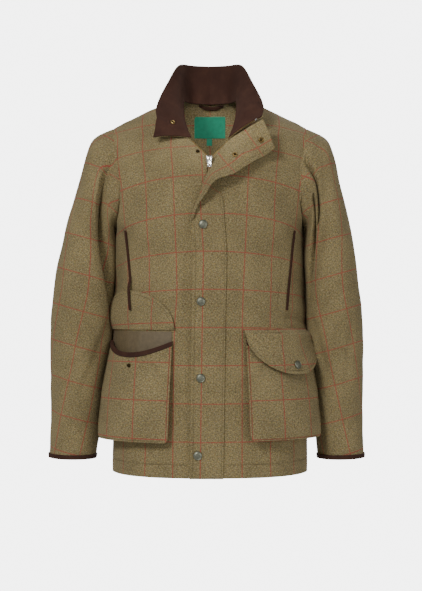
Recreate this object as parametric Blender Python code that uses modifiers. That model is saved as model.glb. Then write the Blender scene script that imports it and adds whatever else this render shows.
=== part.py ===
"""A tweed jacket, filled out as if worn: two fronts, back, set-in sleeves, open standing collar, zip with a
storm flap, two bound hand pockets and two bellows pockets. Metres, +Z up, the front faces -Y.
The origin is between the shoulders at the height of the neck, where a wearer carries the jacket.
Sides are the wearer's: the right side is at -X. Heights in the tables are above the hem."""

import math
from collections import namedtuple

import bmesh
import bpy
import numpy as np
from mathutils import Matrix, Vector

for thing in list(bpy.data.objects):
    bpy.data.objects.remove(thing, do_unlink=True)

RIGHT, LEFT = -1, 1
FRONT, BACK = 1, -1

# Driving sizes
NECK_ABOVE_HEM = 0.776
UNDERARM = 0.500
CLOTH = 0.0024
COLLAR_LAYER = 0.0020
TRIM = 0.0014
SEAM = 0.0003
SIDE_BACK = 0.5
CORNER_BACK = 0.75
CLEAR = 0.0006
ON_CURVE_CLEAR = 0.0009
INSIDE_CLEAR = 0.0012
ZIP_HALF_GAP = 0.006
CHEST_FLATNESS = 2.2
SHOULDER_BOW = 1.4
CHEST_TURN = 0.45
FLAP_WIDTH = 0.066
FLAP_ROLL = 0.0017
SNAP_RADIUS = 0.0088
SNAP_HEIGHT = 0.0042
RING_RADIUS = 0.0040
RING_WIRE = 0.0013
HARD_CLEAR = 0.0001
STUD_RADIUS = 0.0040
STUD_HEIGHT = 0.0040
SNAP_ROUNDING = 0.45
STUD_ROUNDING = 0.30

# Panel rows: even steps from hem to underarm, then shares of the armhole from underarm to shoulder
ROWS_BELOW = 10
ARMHOLE_SHARES = (0, 0.1, 0.2, 0.31, 0.42, 0.52, 0.59, 0.66, 0.73, 0.80, 0.90, 1.0)
NECK_SHARE = 0.80
PANEL_COLUMNS = 10

# The body's level rings, from hem to underarm
Ring = namedtuple("Ring", "height half_width front back side square")
TORSO = (
    Ring(0.000, 0.2040, 0.150, 0.146, 0.012, 2.40),
    Ring(0.100, 0.2050, 0.150, 0.142, 0.018, 2.35),
    Ring(0.250, 0.2070, 0.146, 0.134, 0.032, 2.20),
    Ring(0.360, 0.2070, 0.143, 0.128, 0.040, 2.10),
    Ring(0.450, 0.2055, 0.145, 0.136, 0.036, 2.10),
    Ring(0.476, 0.2020, 0.146, 0.140, 0.026, 2.15),
    Ring(0.500, 0.1960, 0.147, 0.142, 0.0085, 2.30),
)

# Inner edge of each front above the underarm: centre front, V of the open zip, then neck seam
Edge = namedtuple("Edge", "share x y height")
FRONT_EDGE = (
    Edge(0.00, 0.006, -0.147, 0.500),
    Edge(0.31, 0.006, -0.145, 0.570),
    Edge(0.52, 0.006, -0.140, 0.634),
    Edge(0.66, 0.022, -0.122, 0.657),
    Edge(0.80, 0.041, -0.102, 0.680),
    Edge(0.90, 0.056, -0.052, 0.730),
    Edge(1.00, 0.060, 0.012, 0.776),
)

# Inner edge of each half of the back: centre back, then neck seam
BACK_EDGE = (
    Edge(0.00, 0.000, 0.142, 0.500),
    Edge(0.31, 0.000, 0.148, 0.585),
    Edge(0.52, 0.000, 0.136, 0.665),
    Edge(0.66, 0.000, 0.113, 0.728),
    Edge(0.80, 0.000, 0.080, 0.780),
    Edge(0.90, 0.042, 0.060, 0.780),
    Edge(1.00, 0.060, 0.012, 0.776),
)

# Sleeve sections from the armhole to the cuff: outer and inner point, centre, half depth, armhole dips, and how
# much each point takes of the sway
Section = namedtuple(
    "Section", "along outer_x outer_h inner_x inner_h centre_y depth dip_x dip_h sway_out sway_in"
)
SLEEVE = (
    Section(0, 0.204, 0.715, 0.1960, 0.5000, 0.0085, 0.093, 0.016, 0.012, 0.0, 0.0),
    Section(1, 0.247, 0.689, 0.2015, 0.4965, 0.0060, 0.094, 0.006, 0.004, 0.0, 0.0),
    Section(2, 0.275, 0.590, 0.2035, 0.4860, -0.0060, 0.084, 0.000, 0.000, 0.2, 0.0),
    Section(3, 0.300, 0.487, 0.2020, 0.4520, -0.0180, 0.076, 0.000, 0.000, 0.6, 0.0),
    Section(4, 0.316, 0.391, 0.2015, 0.3780, -0.0220, 0.070, 0.000, 0.000, 1.0, 0.0),
    Section(5, 0.326, 0.290, 0.2090, 0.2870, -0.0140, 0.066, 0.000, 0.000, 1.0, 0.3),
    Section(6, 0.328, 0.200, 0.2190, 0.2000, 0.0020, 0.061, 0.000, 0.000, 1.0, 0.7),
    Section(7, 0.328, 0.110, 0.2260, 0.1100, 0.0080, 0.055, 0.000, 0.000, 1.0, 1.0),
    Section(8, 0.331, 0.027, 0.2335, 0.0250, 0.0080, 0.050, 0.000, 0.000, 1.0, 1.0),
)
SLEEVE_ROWS = (0, 0.35, 0.7, 1, 1.4, 1.8, 2.2, 2.6, 3.0, 3.5, 4, 4.6, 5.2, 5.9, 6.6, 7.3, 8)
SLEEVE_SWAY = {RIGHT: 0.007, LEFT: -0.007}
NEAR_END = 0.2
NEAR_ANGLE = 0.05

# The sleeve's largest folds, as troughs that run along it; angles from the outer line, front positive
Fold = namedtuple("Fold", "start end angle_start angle_end depth width")
SLEEVE_FOLDS = (
    Fold(0.4, 4.6, 42, 178, 0.0100, 20),
    Fold(0.5, 4.2, -50, -168, 0.0080, 22),
    Fold(4.2, 6.4, 120, 60, 0.0035, 22),
)

# The collar's free edge, from the centre back round to each front end; roll is how far it bellies
Lip = namedtuple("Lip", "turn x y height roll")
COLLAR_EDGE = {
    RIGHT: (
        Lip(0.00, 0.000, 0.088, 0.862, 0.001),
        Lip(0.25, 0.040, 0.078, 0.862, 0.001),
        Lip(0.40, 0.066, 0.046, 0.860, 0.003),
        Lip(0.52, 0.086, 0.004, 0.818, 0.007),
        Lip(0.66, 0.103, -0.034, 0.776, 0.009),
        Lip(0.80, 0.112, -0.072, 0.738, 0.009),
        Lip(0.90, 0.108, -0.096, 0.718, 0.006),
        Lip(1.00, 0.115, -0.118, 0.679, 0.004),
    ),
    LEFT: (
        Lip(0.00, 0.000, 0.088, 0.862, 0.001),
        Lip(0.25, 0.040, 0.078, 0.862, 0.001),
        Lip(0.40, 0.067, 0.046, 0.860, 0.003),
        Lip(0.52, 0.087, 0.006, 0.818, 0.007),
        Lip(0.66, 0.102, -0.026, 0.781, 0.009),
        Lip(0.80, 0.110, -0.056, 0.754, 0.009),
        Lip(0.90, 0.111, -0.076, 0.738, 0.006),
        Lip(1.00, 0.106, -0.096, 0.723, 0.003),
    ),
}
COLLAR_STEPS = 13
COLLAR_COLUMNS = 5
COLLAR_TURNED_EDGE = 0.985

# Storm flap from hem to top: its fold, the way it leans there, the share of its width still closed, how far the
# fold stands off the front, and the angle at which the turned part stands up from the front
Turn = namedtuple("Turn", "along fold_x fold_h lean closed fold_out rise")
STORM_FLAP = (
    Turn(0.000, -0.0455, 0.001, 0, 1.10, 0.000, 70),
    Turn(0.430, -0.0390, 0.430, 0, 1.10, 0.000, 70),
    Turn(0.500, -0.0370, 0.500, 0, 1.02, 0.000, 70),
    Turn(0.535, -0.0285, 0.537, 3, 0.86, 0.000, 70),
    Turn(0.560, -0.0165, 0.566, 16, 0.67, 0.000, 64),
    Turn(0.585, -0.0095, 0.590, 36, 0.56, 0.000, 54),
    Turn(0.605, -0.0015, 0.607, 48, 0.48, 0.000, 45),
    Turn(0.620, 0.0060, 0.619, 52, 0.38, 0.000, 37),
    Turn(0.635, 0.0125, 0.631, 53, 0.29, 0.000, 25),
    Turn(0.655, 0.0210, 0.647, 53, 0.19, 0.002, 12),
    Turn(0.685, 0.0380, 0.667, 52, 0.10, 0.006, 5),
    Turn(0.715, 0.0640, 0.685, 52, 0.06, 0.016, -8),
    Turn(0.765, 0.1050, 0.710, 54, 0.06, 0.054, -30),
)
FLAP_CLOSED_STEPS = 11
FLAP_TURNED_STEPS = 21
FLAP_COLUMNS = 9
FLAP_CLOSED_ROW = 2
FLAP_CLOSED_TO = 0.5

# Bellows pockets: the body stretch each covers, its mouth, and how far it stands off
Pocket = namedtuple("Pocket", "in_top in_low out hinge mouth bottom dip belly")
POCKETS = {
    RIGHT: Pocket(0.0740, 0.0800, 0.2480, 0.294, 0.270, 0.071, 0.024, 0.020),
    LEFT: Pocket(0.0715, 0.0770, 0.2400, 0.297, 0.272, 0.075, 0.012, 0.009),
}
POCKET_CORNER = 0.012
POCKET_CORNER_SHARE = 0.10
POCKET_MOUTH_OFF = 0.0065
POCKET_LOW_OFF_IN = 0.020
POCKET_LOW_OFF_OUT = 0.033
POCKET_SLOPE = 1.7
POCKET_COLUMNS = 9
NEAR_SHARE = 0.01
POCKET_ROWS = 8
GUSSET_TOP = 0.94
GUSSET_BEHIND = 0.0018
GUSSET_EDGE_INSET = 0.020
GUSSET_FOLD_INSET = 0.085
GUSSET_ROOT_INSET = 0.035
BINDING_DROP = 0.0080
BINDING_INSIDE = 0.0050

# Section of a binding folded over a cloth edge: distance back from the edge, and out from the cloth's face
BEHIND_CLOTH = -CLOTH - CLEAR
BINDING_SECTION = (
    (BINDING_DROP, CLEAR),
    (BINDING_DROP, CLEAR + TRIM),
    (-CLEAR - TRIM, CLEAR + TRIM),
    (-CLEAR - TRIM, BEHIND_CLOTH - TRIM),
    (BINDING_INSIDE, BEHIND_CLOTH - TRIM),
    (BINDING_INSIDE, BEHIND_CLOTH),
    (-CLEAR, BEHIND_CLOTH),
    (-CLEAR, CLEAR),
)

# Lining in the open pocket and the pocket flaps
LINING_LOW = 0.205
LINING_BELOW_HINGE = 0.003
LINING_MARGIN_LOW = 0.010
LINING_MARGIN_HIGH = 0.002
LINING_WIDENS = (0.258, 0.270)
POCKET_FLAP_DROP = {RIGHT: 0.080, LEFT: 0.0935}
POCKET_FLAP_END = 0.004
POCKET_FLAP_BEFORE = 0.004
POCKET_FLAP_LIFT = 0.016
POCKET_FLAP_PEAK = 0.60
POCKET_FLAP_CURVE = 1.9
POCKET_FLAP_TRIM = 0.30
POCKET_FLAP_TRIM_CURVE = 2.5
RAISED_FLAP_BULGE = 0.004
CLOSED_FLAP_OVER = 0.0040

# Bound edges of the hand pockets; over is how far one is lifted by the raised flap under it
Bound = namedtuple("Bound", "height x over_raised")
HAND_POCKET = (
    Bound(0.333, 0.1545, 0.0078),
    Bound(0.352, 0.1562, 0.0068),
    Bound(0.379, 0.1587, 0.0038),
    Bound(0.396, 0.1603, 0.0000),
    Bound(0.440, 0.1648, 0.0000),
    Bound(0.496, 0.1710, 0.0000),
)
HAND_POCKET_WIDTH = 0.0066
HAND_POCKET_OFF = 0.0015
HAND_POCKET_STEPS = 14

# Snaps, rings and studs
Spot = namedtuple("Spot", "name x height")
FLAP_SNAPS = (
    Spot("flap_snap_1", -0.0135, 0.504),
    Spot("flap_snap_2", -0.0175, 0.351),
    Spot("flap_snap_3", -0.0180, 0.199),
    Spot("flap_snap_4", -0.0240, 0.046),
)
FLAP_RINGS = (("flap_ring_1", 0.968, 0.56), ("flap_ring_2", 0.878, 0.56))
FRONT_STUD = Spot("front_stud", -0.0245, 0.650)
POCKET_STUD_PLACE = (0.48, 0.86)
POCKET_SNAP_PLACE = (0.60, 0.80)
COLLAR_RING_PLACE = (0.90, 0.55)

# Zip
TAPE_STEPS = 22
TAPE_LEVELS = (0.004, 1.79)
NEAR_LEVEL = 0.003
BESIDE_EDGE = 0.05
TAPE_OUT = 0.0048
TAPE_UNDER = 0.0080
TAPE_THICK = 0.0010
SLIDER_SIZE = (0.0135, 0.0070, 0.0125)
SLIDER_CENTRE_X = -0.0012
SLIDER_LOW = 0.6275
SLIDER_BEVEL = 0.0012
PIVOT_AHEAD = 0.0020
PIVOT_HEIGHT = 0.6350
BRIDGE_RADIUS = 0.0031
BRIDGE_WIRE = 0.00065
PULL_WIDTH = 0.0082
PULL_LENGTH = 0.0175
PULL_THICK = 0.0012
PULL_WINDOW = 0.0021
PULL_WINDOW_NEAR = 0.0012
PULL_WINDOW_FAR = 0.0048
PULL_HOLE = 0.0018
PULL_HOLE_AT = 0.0140

# Back neck
LOOP_HALF = 0.028
LOOP_X = 0.003
LOOP_TOP = 0.7765
LOOP_DEEP = 0.0095
LOOP_BOW = 0.0025
LOOP_CLEAR = 0.0018
LOOP_END_SHARE = 0.35
LOOP_END_SLOPE = 1.3
LABEL_BOX = (-0.035, 0.034, 0.7115, 0.7560)
TAB_BOX = (-0.0075, 0.0045, 0.6965, 0.7108)
LABEL_THICK = 0.0010

FINISH = {
    "tweed": ((0.19, 0.155, 0.075), 0.9, 0.0),
    "brown": ((0.05, 0.02, 0.014), 0.75, 0.0),
    "lining": ((0.15, 0.115, 0.075), 0.5, 0.0),
    "label": ((0.01, 0.12, 0.07), 0.6, 0.0),
    "tape": ((0.16, 0.11, 0.06), 0.8, 0.0),
    "gunmetal": ((0.16, 0.17, 0.14), 0.4, 0.9),
    "brass": ((0.30, 0.22, 0.11), 0.35, 1.0),
    "silver": ((0.70, 0.69, 0.66), 0.25, 1.0),
}

jacket = bpy.data.collections.new("tweed_jacket")
cutters = bpy.data.collections.new("cutters")
bpy.context.scene.collection.children.link(jacket)
bpy.context.scene.collection.children.link(cutters)


# Curves through the rows of a table
def smooth_through(knots, values, at):
    """A curve through the rows that never overshoots them."""
    knots = np.asarray(knots, float)
    values = np.asarray(values, float)
    at = np.asarray(at, float)
    step = np.diff(knots)
    rise = np.diff(values) / step
    slope = np.zeros(len(knots))
    slope[0] = rise[0]
    slope[-1] = rise[-1]
    for i in range(1, len(knots) - 1):
        if rise[i - 1] * rise[i] > 0:
            slope[i] = 2.0 / (1.0 / rise[i - 1] + 1.0 / rise[i])
    i = np.clip(np.searchsorted(knots, at, side="right") - 1, 0, len(step) - 1)
    t = (at - knots[i]) / step[i]
    start = (1 + 2 * t) * (1 - t) ** 2 * values[i] + t * (1 - t) ** 2 * step[i] * slope[i]
    finish = t * t * (3 - 2 * t) * values[i + 1] + t * t * (t - 1) * step[i] * slope[i + 1]
    return start + finish


def column(rows, name, at):
    return smooth_through([row[0] for row in rows], [getattr(row, name) for row in rows], at)


def ease(t):
    t = np.clip(t, 0.0, 1.0)
    return t * t * (3 - 2 * t)


def unit(v):
    return v / np.linalg.norm(v, axis=-1, keepdims=True)


# The garment's form
def fold_depth(along, angle):
    """How far the sleeve's folds press in at a place, as a share of its radius."""
    total = np.zeros(np.broadcast(along, angle).shape)
    for fold in SLEEVE_FOLDS:
        run = np.clip((along - fold.start) / (fold.end - fold.start), 0.0, 1.0)
        middle = fold.angle_start + (fold.angle_end - fold.angle_start) * run
        away = (np.degrees(angle) - middle + 180.0) % 360.0 - 180.0
        mean_radius = column(SLEEVE, "depth", along)
        total = total + fold.depth / mean_radius * np.sin(np.pi * run) * np.exp(-((away / fold.width) ** 2))
    return total


def sleeve_point(side, along, angle):
    """A point of the sleeve; along 0 is the armhole seam. Angle 0 is the outer line, front positive."""
    outer_x = column(SLEEVE, "outer_x", along) + SLEEVE_SWAY[side] * column(SLEEVE, "sway_out", along)
    inner_x = column(SLEEVE, "inner_x", along) + SLEEVE_SWAY[side] * column(SLEEVE, "sway_in", along)
    outer_h, inner_h = column(SLEEVE, "outer_h", along), column(SLEEVE, "inner_h", along)
    across, round_ = np.cos(angle), np.sin(angle)
    press = 1.0 - fold_depth(along, angle)
    x = (outer_x + inner_x) / 2 + (outer_x - inner_x) / 2 * across * press
    x = x - column(SLEEVE, "dip_x", along) * round_ ** 2
    h = (outer_h + inner_h) / 2 + (outer_h - inner_h) / 2 * across * press
    h = h - column(SLEEVE, "dip_h", along) * round_ ** 2
    y = column(SLEEVE, "centre_y", along) - column(SLEEVE, "depth", along) * round_ * press
    return np.stack(np.broadcast_arrays(side * x, y, h), axis=-1)


def row_ends(face, level):
    """The two ends of a panel's rows, and how flat each row is. Level 0 is the hem, 1 the underarm and
    2 the shoulder seam."""
    level = np.asarray(level, float)
    below = level <= 1
    height = np.minimum(level, 1.0) * UNDERARM
    share = np.maximum(level - 1.0, 0.0)
    edge = FRONT_EDGE if face == FRONT else BACK_EDGE
    deep = column(TORSO, "front" if face == FRONT else "back", height)
    armhole = sleeve_point(LEFT, 0.0, face * math.pi * (1 - share))
    return {
        "in_x": np.where(below, ZIP_HALF_GAP if face == FRONT else 0.0, column(edge, "x", share)),
        "in_y": np.where(below, -face * deep, column(edge, "y", share)),
        "in_h": np.where(below, height, column(edge, "height", share)),
        "out_x": np.where(below, column(TORSO, "half_width", height), armhole[..., 0]),
        "out_y": np.where(below, column(TORSO, "side", height), armhole[..., 1]),
        "out_h": np.where(below, height, armhole[..., 2]),
        "flat": ease(share / CHEST_TURN),
        "square": column(TORSO, "square", height),
    }


def along_row(ends, across):
    """Places along panel rows: across 0 is the centre or neck edge, 1 the side seam or armhole."""
    rounded = (1 - across ** ends["square"]) ** (1 / ends["square"])
    wrap = (1 - ends["flat"]) * rounded + ends["flat"] * (1 - across ** CHEST_FLATNESS)
    x = ends["in_x"] + (ends["out_x"] - ends["in_x"]) * across
    y = ends["out_y"] + (ends["in_y"] - ends["out_y"]) * wrap
    h = ends["in_h"] + (ends["out_h"] - ends["in_h"]) * across ** SHOULDER_BOW
    return x, y, h


def panel_row(face, side, level, across):
    """A row of a front or of half the back."""
    x, y, h = along_row(row_ends(face, level), np.asarray(across, float))
    return np.stack(np.broadcast_arrays(side * x, y, h), axis=-1)


ROW_STACK = {face: row_ends(face, np.linspace(0, 2, 801)) for face in (FRONT, BACK)}


def surface_point(face, x, h):
    """The point of a front or of the back that lies at this x and height."""
    ends = ROW_STACK[face]
    reach = np.clip((abs(x) - ends["in_x"]) / (ends["out_x"] - ends["in_x"]), 0.0, 0.999)
    _, y, heights = along_row(ends, reach)
    top = int(np.argmax(heights)) + 1
    return np.array([x, np.interp(h, heights[:top], y[:top]), h])


def surface_frame(face, x, h, reach=0.002):
    """That point, and the direction straight out of the cloth there."""
    beside = surface_point(face, x + reach, h) - surface_point(face, x - reach, h)
    above = surface_point(face, x, h + reach) - surface_point(face, x, h - reach)
    out = unit(np.cross(beside, above))
    return surface_point(face, x, h), out if face == FRONT else -out


def girth_line(side, h):
    """The front's level line at a height, with the distance along it from the centre."""
    across = np.sin(np.linspace(0, math.pi / 2, 240))
    line = panel_row(FRONT, side, h / UNDERARM, across)
    run = np.concatenate([[0.0], np.cumsum(np.linalg.norm(np.diff(line, axis=0), axis=1))])
    return line, run + ZIP_HALF_GAP


def girth_point(side, h, girth):
    line, run = girth_line(side, h)
    return np.array([np.interp(girth, run, line[:, k]) for k in range(3)])


def girth_frame(side, h, girth, reach=0.003):
    """A point of a front by its distance round from the centre, and the direction out of it."""
    beside = girth_point(side, h, girth + reach) - girth_point(side, h, girth - reach)
    above = girth_point(side, h + reach, girth) - girth_point(side, h - reach, girth)
    out = unit(np.cross(beside, above) * side)
    return girth_point(side, h, girth), out


def girth_of_x(side, h, x):
    line, run = girth_line(side, h)
    return float(np.interp(abs(x), np.abs(line[:, 0]), run))


# Making objects
def finish_object(obj, kind):
    """Gives an object its own material and puts it in the jacket's collection."""
    colour, roughness, metallic = FINISH[kind]
    material = bpy.data.materials.new(obj.name)
    material.use_nodes = True
    shader = material.node_tree.nodes["Principled BSDF"]
    shader.inputs["Base Color"].default_value = (*colour, 1.0)
    shader.inputs["Roughness"].default_value = roughness
    shader.inputs["Metallic"].default_value = metallic
    obj.data.materials.clear()
    obj.data.materials.append(material)
    for home in list(obj.users_collection):
        home.objects.unlink(obj)
    jacket.objects.link(obj)
    return obj


def mesh_object(name, points, faces, kind):
    """An object from points given with their height above the hem."""
    mesh = bpy.data.meshes.new(name)
    lowered = np.asarray(points, float) - np.array([0.0, 0.0, NECK_ABOVE_HEM])
    mesh.from_pydata(lowered.tolist(), [], faces)
    work = bmesh.new()
    work.from_mesh(mesh)
    bmesh.ops.recalc_face_normals(work, faces=work.faces)
    work.to_mesh(mesh)
    work.free()
    mesh.shade_smooth()
    mesh.set_sharp_from_angle(angle=math.radians(40))
    return finish_object(bpy.data.objects.new(name, mesh), kind)


def grid_faces(rows, columns, closed=False):
    faces = []
    for i in range(rows - 1):
        for j in range(columns if closed else columns - 1):
            k = (j + 1) % columns
            faces.append((i * columns + j, i * columns + k, (i + 1) * columns + k, (i + 1) * columns + j))
    return faces


def grid_normals(grid, toward, test_row=None):
    """Directions straight off a grid of points, on the side that `toward` points to in the middle of a row."""
    across = np.gradient(grid, axis=1)
    along = np.gradient(grid, axis=0)
    normals = unit(np.cross(across, along))
    test_row = grid.shape[0] // 2 if test_row is None else test_row
    return normals if np.dot(normals[test_row, grid.shape[1] // 2], toward) > 0 else -normals


def cloth_sheet(name, grid, thickness, toward, kind, test_row=None):
    """A cloth piece: an open grid with Solidify. The grid is its face on the side `toward`."""
    normals = grid_normals(grid, toward, test_row)
    rows, columns = grid.shape[:2]
    faces = grid_faces(rows, columns)
    points = grid.reshape(-1, 3)
    a, b, c = (points[i] for i in faces[0][:3])
    if np.dot(np.cross(b - a, c - a), normals[0, 0]) < 0:
        faces = [face[::-1] for face in faces]
    mesh = bpy.data.meshes.new(name)
    mesh.from_pydata((points - np.array([0.0, 0.0, NECK_ABOVE_HEM])).tolist(), [], faces)
    mesh.shade_smooth()
    obj = finish_object(bpy.data.objects.new(name, mesh), kind)
    wall = obj.modifiers.new("wall", "SOLIDIFY")
    wall.thickness = thickness
    wall.offset = -1.0
    wall.use_quality_normals = True
    return obj


def swept_band(name, rings, closed, kind):
    """A band swept through like closed sections, joined end to end or capped."""
    count, sides = len(rings), len(rings[0])
    points = np.concatenate(rings)
    faces = grid_faces(count, sides, closed=True)
    if closed:
        last = (count - 1) * sides
        faces += [(last + j, last + (j + 1) % sides, (j + 1) % sides, j) for j in range(sides)]
    else:
        faces += [tuple(range(sides)), tuple((count - 1) * sides + j for j in range(sides))]
    return mesh_object(name, points, faces, kind)


def aim(obj, point, direction):
    """Stands an object made along +Z on a point, facing a direction."""
    obj.location = Vector(point) - Vector((0, 0, NECK_ABOVE_HEM))
    obj.rotation_mode = "QUATERNION"
    obj.rotation_quaternion = Vector(direction).to_track_quat("Z", "Y")


def snap_cap(name, point, direction):
    """A low domed snap cap that stands just off a point of the cloth."""
    bpy.ops.mesh.primitive_cylinder_add(vertices=18, radius=SNAP_RADIUS, depth=SNAP_HEIGHT)
    obj = bpy.context.object
    obj.name = name
    rim = obj.modifiers.new("rim", "BEVEL")
    rim.width = SNAP_HEIGHT * SNAP_ROUNDING
    rim.segments = 2
    aim(obj, point + direction * (CLEAR + SNAP_HEIGHT / 2), direction)
    return finish_object(obj, "gunmetal")


def stud(name, point, direction):
    bpy.ops.mesh.primitive_cylinder_add(vertices=14, radius=STUD_RADIUS, depth=STUD_HEIGHT)
    obj = bpy.context.object
    obj.name = name
    rim = obj.modifiers.new("rim", "BEVEL")
    rim.width = STUD_HEIGHT * STUD_ROUNDING
    rim.segments = 1
    aim(obj, point + direction * (CLEAR + STUD_HEIGHT / 2), direction)
    return finish_object(obj, "brass")


def snap_ring(name, point, direction):
    bpy.ops.mesh.primitive_torus_add(
        major_radius=RING_RADIUS, minor_radius=RING_WIRE, major_segments=16, minor_segments=6
    )
    obj = bpy.context.object
    obj.name = name
    aim(obj, point + direction * (HARD_CLEAR + RING_WIRE), direction)
    return finish_object(obj, "brass")


# Fronts, back and sleeves: walls that share their directions where they are sewn together
class Panel:
    """An open piece of cloth before it gets its thickness."""

    def __init__(self, name, points, faces, centre):
        self.name = name
        self.points = points
        corners = points[np.array(faces)]
        normals = np.cross(corners[:, 2] - corners[:, 0], corners[:, 3] - corners[:, 1])
        outward = np.einsum("ij,ij->i", normals, corners.mean(axis=1) - centre(corners.mean(axis=1)))
        if outward.sum() < 0:
            faces = [face[::-1] for face in faces]
            normals = -normals
        self.faces = faces
        self.normals = np.zeros_like(points)
        for k in range(4):
            np.add.at(self.normals, np.array(faces)[:, k], normals)

    def borders(self):
        """The edges that belong to one face only, in that face's order."""
        edges = {}
        for face in self.faces:
            for k in range(4):
                pair = (face[k], face[(k + 1) % 4])
                edges[pair] = edges.get(pair[::-1], 0) + 1
        return [pair for pair in edges if pair[::-1] not in edges]


def body_axis(points):
    return points * np.array([0.0, 0.0, 1.0])


def sleeve_axis(side):
    def axis(points):
        order = np.array(SLEEVE_ROWS, float)
        middle = (sleeve_point(side, order, 0.0) + sleeve_point(side, order, math.pi)) / 2
        rising = np.argsort(middle[:, 2])
        x = np.interp(points[:, 2], middle[rising, 2], middle[rising, 0])
        y = np.interp(points[:, 2], middle[rising, 2], middle[rising, 1])
        return np.stack([x, y, points[:, 2]], axis=-1)

    return axis


def levels():
    below = [i / ROWS_BELOW for i in range(ROWS_BELOW)]
    return below + [1 + share for share in ARMHOLE_SHARES]


def front_panel(side):
    across = np.sin(np.linspace(0, math.pi / 2, PANEL_COLUMNS + 1))
    rows = [panel_row(FRONT, side, level, across) for level in levels()]
    faces = grid_faces(len(rows), PANEL_COLUMNS + 1)
    name = "front_right" if side == RIGHT else "front_left"
    return Panel(name, np.concatenate(rows), faces, body_axis)


def back_panel():
    """One piece: its two halves share the centre line up to the neck."""
    across = np.sin(np.linspace(0, math.pi / 2, PANEL_COLUMNS + 1))
    points, faces = [], []
    for side in (RIGHT, LEFT):
        start = len(points)
        rows = [panel_row(BACK, side, level, across) for level in levels()]
        points += list(np.concatenate(rows))
        half = grid_faces(len(rows), PANEL_COLUMNS + 1)
        faces += [tuple(start + i for i in face[::side]) for face in half]
    points = np.array(points) + 0.0
    _, first, same = np.unique(np.round(points, 7), axis=0, return_index=True, return_inverse=True)
    same = same.reshape(-1)
    return Panel("back", points[first], [tuple(int(same[i]) for i in face) for face in faces], body_axis)


def sleeve_panel(side):
    front_angles = [math.pi * (1 - share) for share in ARMHOLE_SHARES]
    angles = np.array(front_angles + [-angle for angle in front_angles[-2:0:-1]])
    rows = [sleeve_point(side, float(along), angles) for along in SLEEVE_ROWS]
    faces = grid_faces(len(rows), len(angles), closed=True)
    name = "sleeve_right" if side == RIGHT else "sleeve_left"
    return Panel(name, np.concatenate(rows), faces, sleeve_axis(side))


def sew(panels):
    """Gives meeting edges one shared direction, draws each edge back half a seam and builds the walls."""
    shared = {}
    for panel in panels:
        for point, normal in zip(np.round(panel.points, 6), unit(panel.normals)):
            key = tuple(point)
            shared[key] = shared.get(key, 0) + normal
    for panel in panels:
        normals = unit(np.array([shared[tuple(point)] for point in np.round(panel.points, 6)]))
        borders = panel.borders()
        on_border = {i for pair in borders for i in pair}
        inner = {i: [] for i in on_border}
        for face in panel.faces:
            for k in range(4):
                a, b = face[k], face[(k + 1) % 4]
                if a in on_border and b not in on_border:
                    inner[a].append(b)
                if b in on_border and a not in on_border:
                    inner[b].append(a)
        outer = panel.points.copy()
        for i in on_border:
            beside = inner[i] or [j for pair in borders if i in pair for j in pair if j != i]
            away = unit(panel.points[beside] - panel.points[i]).sum(axis=0)
            outer[i] = panel.points[i] + unit(away) * SEAM * (SIDE_BACK if inner[i] else CORNER_BACK)
        count = len(outer)
        points = np.concatenate([outer, outer - normals * CLOTH])
        faces = [tuple(face) for face in panel.faces]
        faces += [tuple(count + i for i in face[::-1]) for face in panel.faces]
        order = {i: tuple(np.round(panel.points[i], 6)) for i in on_border}
        for a, b in borders:
            if order[a] < order[b]:
                faces += [(b, a, count + b), (a, count + a, count + b)]
            else:
                faces += [(b, a, count + a), (b, count + a, count + b)]
        mesh_object(panel.name, points, faces, "tweed")


# Collar
def neck_seam(side, turn):
    """The neck seam, from 0 at the centre back by 0.5 at the shoulder to 1 at the front end."""
    if turn <= 0.5:
        share = NECK_SHARE + (1 - NECK_SHARE) * turn / 0.5
        return panel_row(BACK, side, 1 + share, 0.0)
    share = 1 - (1 - NECK_SHARE) * (turn - 0.5) / 0.5
    return panel_row(FRONT, side, 1 + share, 0.0)


def collar_grid(reach):
    """The collar's outer face, from the right front end round the back to the left front end."""
    turns = [(RIGHT, 1 - i / COLLAR_STEPS) for i in range(COLLAR_STEPS)]
    turns += [(LEFT, i / COLLAR_STEPS) for i in range(COLLAR_STEPS + 1)]
    base = np.array([neck_seam(side, turn) for side, turn in turns])
    edge, roll = [], []
    for side, turn in turns:
        rows = COLLAR_EDGE[side]
        edge.append([side * column(rows, "x", turn), column(rows, "y", turn), column(rows, "height", turn)])
        roll.append(column(rows, "roll", turn))
    edge = np.array(edge)
    rise = edge - base
    inward = unit(np.cross(np.gradient(base, axis=0), rise))
    if inward[COLLAR_STEPS, 1] > 0:
        inward = -inward
    share = np.linspace(0, reach, COLLAR_COLUMNS + 1)
    start = base + unit(rise) * SEAM * 2
    grid = start[:, None] + (edge - start)[:, None] * share[None, :, None]
    belly = np.array(roll)[:, None] * np.sin(np.pi * share)[None, :]
    return grid + inward[:, None] * belly[:, :, None]


def collar():
    """A tweed outer and a brown facing a seam apart."""
    backward = np.array([0.0, 1.0, 0.0])
    outer = collar_grid(1.0)
    cloth_sheet("collar_outer", outer, COLLAR_LAYER, backward, "tweed")
    inside = collar_grid(COLLAR_TURNED_EDGE)
    facing = inside - grid_normals(inside, backward) * (COLLAR_LAYER + SEAM)
    cloth_sheet("collar_facing", facing, COLLAR_LAYER, backward, "brown")
    shown = facing - grid_normals(facing, backward) * COLLAR_LAYER
    turn, share = COLLAR_RING_PLACE
    i, j = round((1 - turn) * COLLAR_STEPS), round(share * COLLAR_COLUMNS)
    snap_ring("collar_ring", shown[i, j], -grid_normals(facing, backward)[i, j])


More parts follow.
